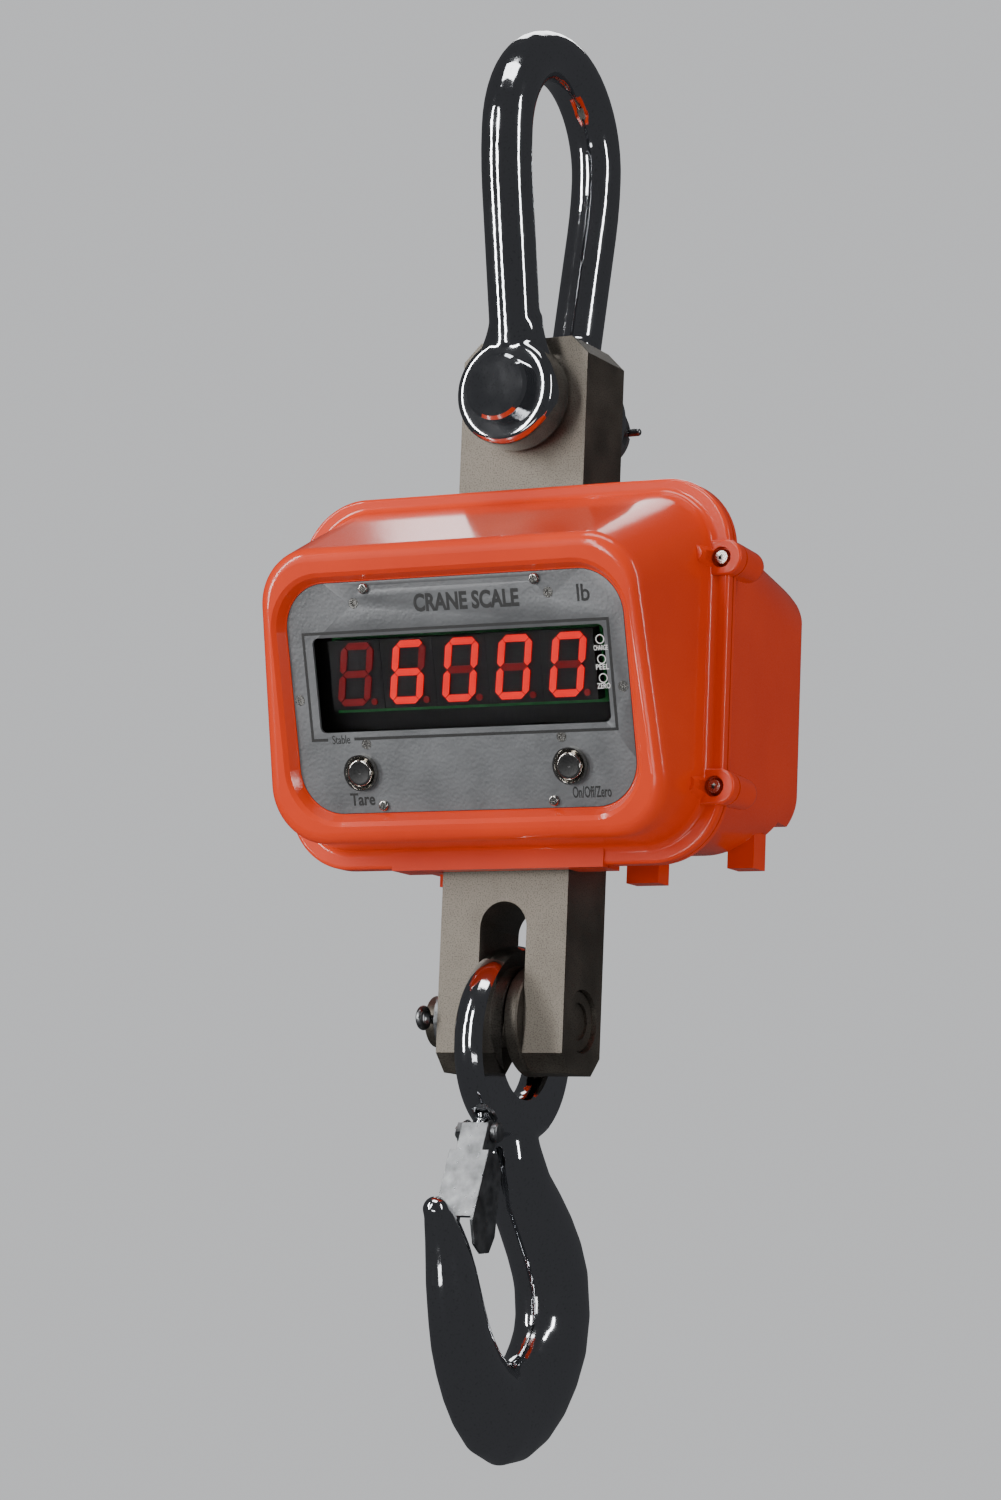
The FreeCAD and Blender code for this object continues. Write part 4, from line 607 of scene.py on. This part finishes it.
# --- Digits -------------------------------------------------------------------------
# Five seven-segment modules stand side by side on a green board. Their faces are black,
# the lit segments glow red through their diffusers, and the unlit ones are dull wine red
# with a faint painted glow, as are the status lamps, though neither is lit.
glow, nodes, links, shader, place = new_material("lit_segment")
grain = noise(nodes, links, place, 500.0)
red = ramp(nodes, links, grain, [(0.2, (1.0, 0.002, 0.001)), (0.8, (1.0, 0.006, 0.003))])
links.new(red, shader.inputs["Base Color"])
links.new(red, shader.inputs["Emission Color"])
shader.inputs["Emission Strength"].default_value = 1.1
shader.inputs["Roughness"].default_value = 0.4
dress(["lit_segments"], glow)
glowing_unlit, nodes, links, shader, place = new_material("unlit_segment_painted_glow")
grain = noise(nodes, links, place, 500.0)
wine_and_painted_glow = ramp(nodes, links, grain, [(0.2, (0.30, 0.004, 0.006)), (0.8, (0.38, 0.006, 0.008))])
links.new(wine_and_painted_glow, shader.inputs["Base Color"])
links.new(wine_and_painted_glow, shader.inputs["Emission Color"])
# painted glow: the unlit segments and the status lamps emit a faint wine red light of their own
shader.inputs["Emission Strength"].default_value = 0.12
shader.inputs["Roughness"].default_value = 0.35
dress(["dark_segments", "status_lamps"], glowing_unlit)
board, nodes, links, shader, place = new_material("board_green")
weave = noise(nodes, links, place, 300.0)
tint(nodes, links, shader, weave, [(0.3, (0.02, 0.30, 0.06)), (0.7, (0.03, 0.38, 0.08))])
shader.inputs["Roughness"].default_value = 0.35
relief(nodes, links, shader, weave, 0.00002)
dress(["display_board", "main_board"], board)

# --- Black plastic ------------------------------------------------------------------
# Digit modules, carrier, switch cans, board parts, tray and socket are moulded plastic.
plastic, nodes, links, shader, place = new_material("black_plastic")
texture = noise(nodes, links, place, 1100.0, 2.0)
tint(nodes, links, shader, texture, [(0.3, (0.006, 0.006, 0.006)), (0.7, (0.014, 0.014, 0.014))])
links.new(spread(nodes, links, texture, 0.34, 0.50), shader.inputs["Roughness"])
relief(nodes, links, shader, texture, 0.00002)
dress(["display_carrier", "board_parts", "digit_modules", "tare_button_face", "power_button_face",
       "tare_button_switch", "power_button_switch", "battery_tray", "charge_socket"], plastic)

# --- Battery ------------------------------------------------------------------------
# A sealed block in a dark case with a slight sheen, and brass terminals.
case, nodes, links, shader, place = new_material("battery_case")
texture = noise(nodes, links, place, 500.0)
tint(nodes, links, shader, texture, [(0.3, (0.030, 0.030, 0.036)), (0.7, (0.045, 0.045, 0.052))])
shader.inputs["Roughness"].default_value = 0.45
relief(nodes, links, shader, texture, 0.00003)
dress(["battery"], case)
brass, nodes, links, shader, place = new_material("brass")
tarnish = noise(nodes, links, place, 350.0)
tint(nodes, links, shader, tarnish, [(0.3, (0.40, 0.25, 0.07)), (0.7, (0.62, 0.42, 0.14))])
links.new(spread(nodes, links, tarnish, 0.22, 0.38), shader.inputs["Roughness"])
shader.inputs["Metallic"].default_value = 1.0
dress(["battery_terminals", "board_standoffs"], brass)

# --- Rubber -------------------------------------------------------------------------
# The seals, the gaskets, the cable jacket and the socket's cap are matt black rubber.
rubber, nodes, links, shader, place = new_material("black_rubber")
dust = noise(nodes, links, place, 260.0, 4.0)
tint(nodes, links, shader, dust, [(0.3, (0.010, 0.010, 0.010)), (0.7, (0.024, 0.024, 0.023))])
links.new(spread(nodes, links, dust, 0.60, 0.80), shader.inputs["Roughness"])
relief(nodes, links, shader, dust, 0.00003)
dress(["top_seal", "bottom_seal", "cover_gasket", "door_gasket", "charge_socket_cap", "cell_cable"], rubber)

# --- Push buttons -------------------------------------------------------------------
# Each button has a bright nickel bezel and ring, and a dark dished face.
nickel, nodes, links, shader, place = new_material("bright_nickel")
turned = noise(nodes, links, place, 1200.0, 2.0)
tint(nodes, links, shader, turned, [(0.3, (0.50, 0.48, 0.45)), (0.7, (0.68, 0.66, 0.62))])
links.new(spread(nodes, links, turned, 0.07, 0.16), shader.inputs["Roughness"])
shader.inputs["Metallic"].default_value = 1.0
dress(["tare_button_bezel", "power_button_bezel", "tare_button_ring", "power_button_ring", "bezel_nuts",
       "cell_gland"], nickel)


# --- Panel printing -----------------------------------------------------------------
# Screen-printed ink, a few hundredths of a millimetre thick: a black frame round the
# window, black generic wording, and three white lamp rings with their names.
ink, nodes, links, shader, place = new_material("black_ink")
wear = noise(nodes, links, place, 900.0)
tint(nodes, links, shader, wear, [(0.3, (0.008, 0.008, 0.008)), (0.7, (0.018, 0.018, 0.018))])
links.new(spread(nodes, links, wear, 0.40, 0.55), shader.inputs["Roughness"])
white_ink, nodes, links, shader, place = new_material("white_ink")
wear = noise(nodes, links, place, 900.0)
tint(nodes, links, shader, wear, [(0.3, (0.62, 0.62, 0.60)), (0.7, (0.74, 0.74, 0.72))])
shader.inputs["Roughness"].default_value = 0.5
INK_THICK = 0.00008
PANEL_CENTRE = Vector((0.0, -0.0758, -0.3121))
PANEL_TILT = math.radians(16.13)
PANEL_OUT = Vector((0.0, -math.cos(PANEL_TILT), -math.sin(PANEL_TILT)))
PANEL_UPWARDS = Vector((0.0, -math.sin(PANEL_TILT), math.cos(PANEL_TILT)))
panel_turn = Matrix((Vector((1.0, 0.0, 0.0)), PANEL_UPWARDS, PANEL_OUT)).transposed().to_4x4()


def print_on_panel(piece, material, across, up):
    """Stands a flat piece on the panel, as part of the casing."""
    spot = PANEL_CENTRE + Vector((across, 0.0, 0.0)) + PANEL_UPWARDS * up + PANEL_OUT * INK_THICK / 2
    piece.matrix_world = Matrix.Translation(spot) @ panel_turn @ Matrix.Diagonal((*piece.scale, 1.0))
    settle(piece)
    piece.data.materials.clear()
    piece.data.materials.append(material)
    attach(piece, "scale")


WORDS = [
    ("CRANE SCALE", "title_print", ink, 0.0085, 0.0340, 0.0082, 0.0560, 0.00042),
    ("lb", "unit_print", ink, 0.0700, 0.0345, 0.0082, 0.0066, 0.00016),
    ("Tare", "tare_print", ink, -0.0570, -0.0575, 0.0060, 0.0135, 0.00020),
    ("On/Off/Zero", "power_print", ink, 0.0655, -0.0570, 0.0054, 0.0200, 0.00012),
    ("Stable", "stable_print", ink, -0.0658, -0.0276, 0.0042, 0.0098, 0.00006),
    ("CHARGE", "charge_print", white_ink, 0.0766, 0.0112, 0.0024, 0.0072, 0.00004),
    ("PEEL", "peel_print", white_ink, 0.0766, 0.0022, 0.0026, 0.0066, 0.00004),
    ("ZERO", "zero_print", white_ink, 0.0766, -0.0066, 0.0026, 0.0068, 0.00004),
]
for words, name, colour, across, up, height, width, boldness in WORDS:
    bpy.ops.object.select_all(action="DESELECT")
    bpy.ops.object.text_add()
    label = bpy.context.object
    label.data.body = words
    label.data.align_x = "CENTER"
    label.data.size = height / 0.73
    label.data.extrude = INK_THICK / 2
    label.data.offset = boldness
    label.data.resolution_u = 4
    bpy.ops.object.convert(target="MESH")
    label = bpy.context.object
    label.name = name
    label.scale.x = width / label.dimensions.x
    print_on_panel(label, colour, across, up)

# the frame line is left open at its foot for the word Stable
FRAME_X = 0.0821
FRAME_UP = 0.0263
FRAME_LINE = 0.0014
STABLE_GAP = (-0.0730, -0.0585)
FRAME_BARS = [
    (-FRAME_X, FRAME_X, FRAME_UP - FRAME_LINE, FRAME_UP),
    (-FRAME_X, STABLE_GAP[0], -FRAME_UP, FRAME_LINE - FRAME_UP),
    (STABLE_GAP[1], FRAME_X, -FRAME_UP, FRAME_LINE - FRAME_UP),
    (-FRAME_X, FRAME_LINE - FRAME_X, FRAME_LINE - FRAME_UP, FRAME_UP - FRAME_LINE),
    (FRAME_X - FRAME_LINE, FRAME_X, FRAME_LINE - FRAME_UP, FRAME_UP - FRAME_LINE),
]
bpy.ops.object.select_all(action="DESELECT")
bars = []
for left, right, low, high in FRAME_BARS:
    bpy.ops.mesh.primitive_cube_add(size=1.0, location=((left + right) / 2, (low + high) / 2, 0.0),
                                    scale=(right - left, high - low, INK_THICK))
    bars.append(bpy.context.object)
for bar in bars:
    bar.select_set(True)
bpy.ops.object.join()
frame_print = bpy.context.object
frame_print.name = "frame_print"
settle(frame_print)
print_on_panel(frame_print, ink, 0.0, 0.0)

LAMP_ACROSS = 0.0766
LAMP_UPS = (0.0163, 0.0070, -0.0018)
RING_OUTER = 0.0022
RING_LINE = 0.0004
rings = []
for up in LAMP_UPS:
    bpy.ops.object.select_all(action="DESELECT")
    bpy.ops.mesh.primitive_cylinder_add(vertices=48, radius=RING_OUTER, depth=INK_THICK,
                                        location=(LAMP_ACROSS, up, 0.0))
    ring = bpy.context.object
    cut_away(ring, add_rod((LAMP_ACROSS, up, 0.0), (0, 0, 1), RING_OUTER - RING_LINE, 0.01, 48))
    rings.append(ring)
bpy.ops.object.select_all(action="DESELECT")
for ring in rings:
    ring.select_set(True)
bpy.context.view_layer.objects.active = rings[0]
bpy.ops.object.join()
ring_print = bpy.context.object
ring_print.name = "lamp_ring_print"
settle(ring_print)
print_on_panel(ring_print, white_ink, 0.0, 0.0)
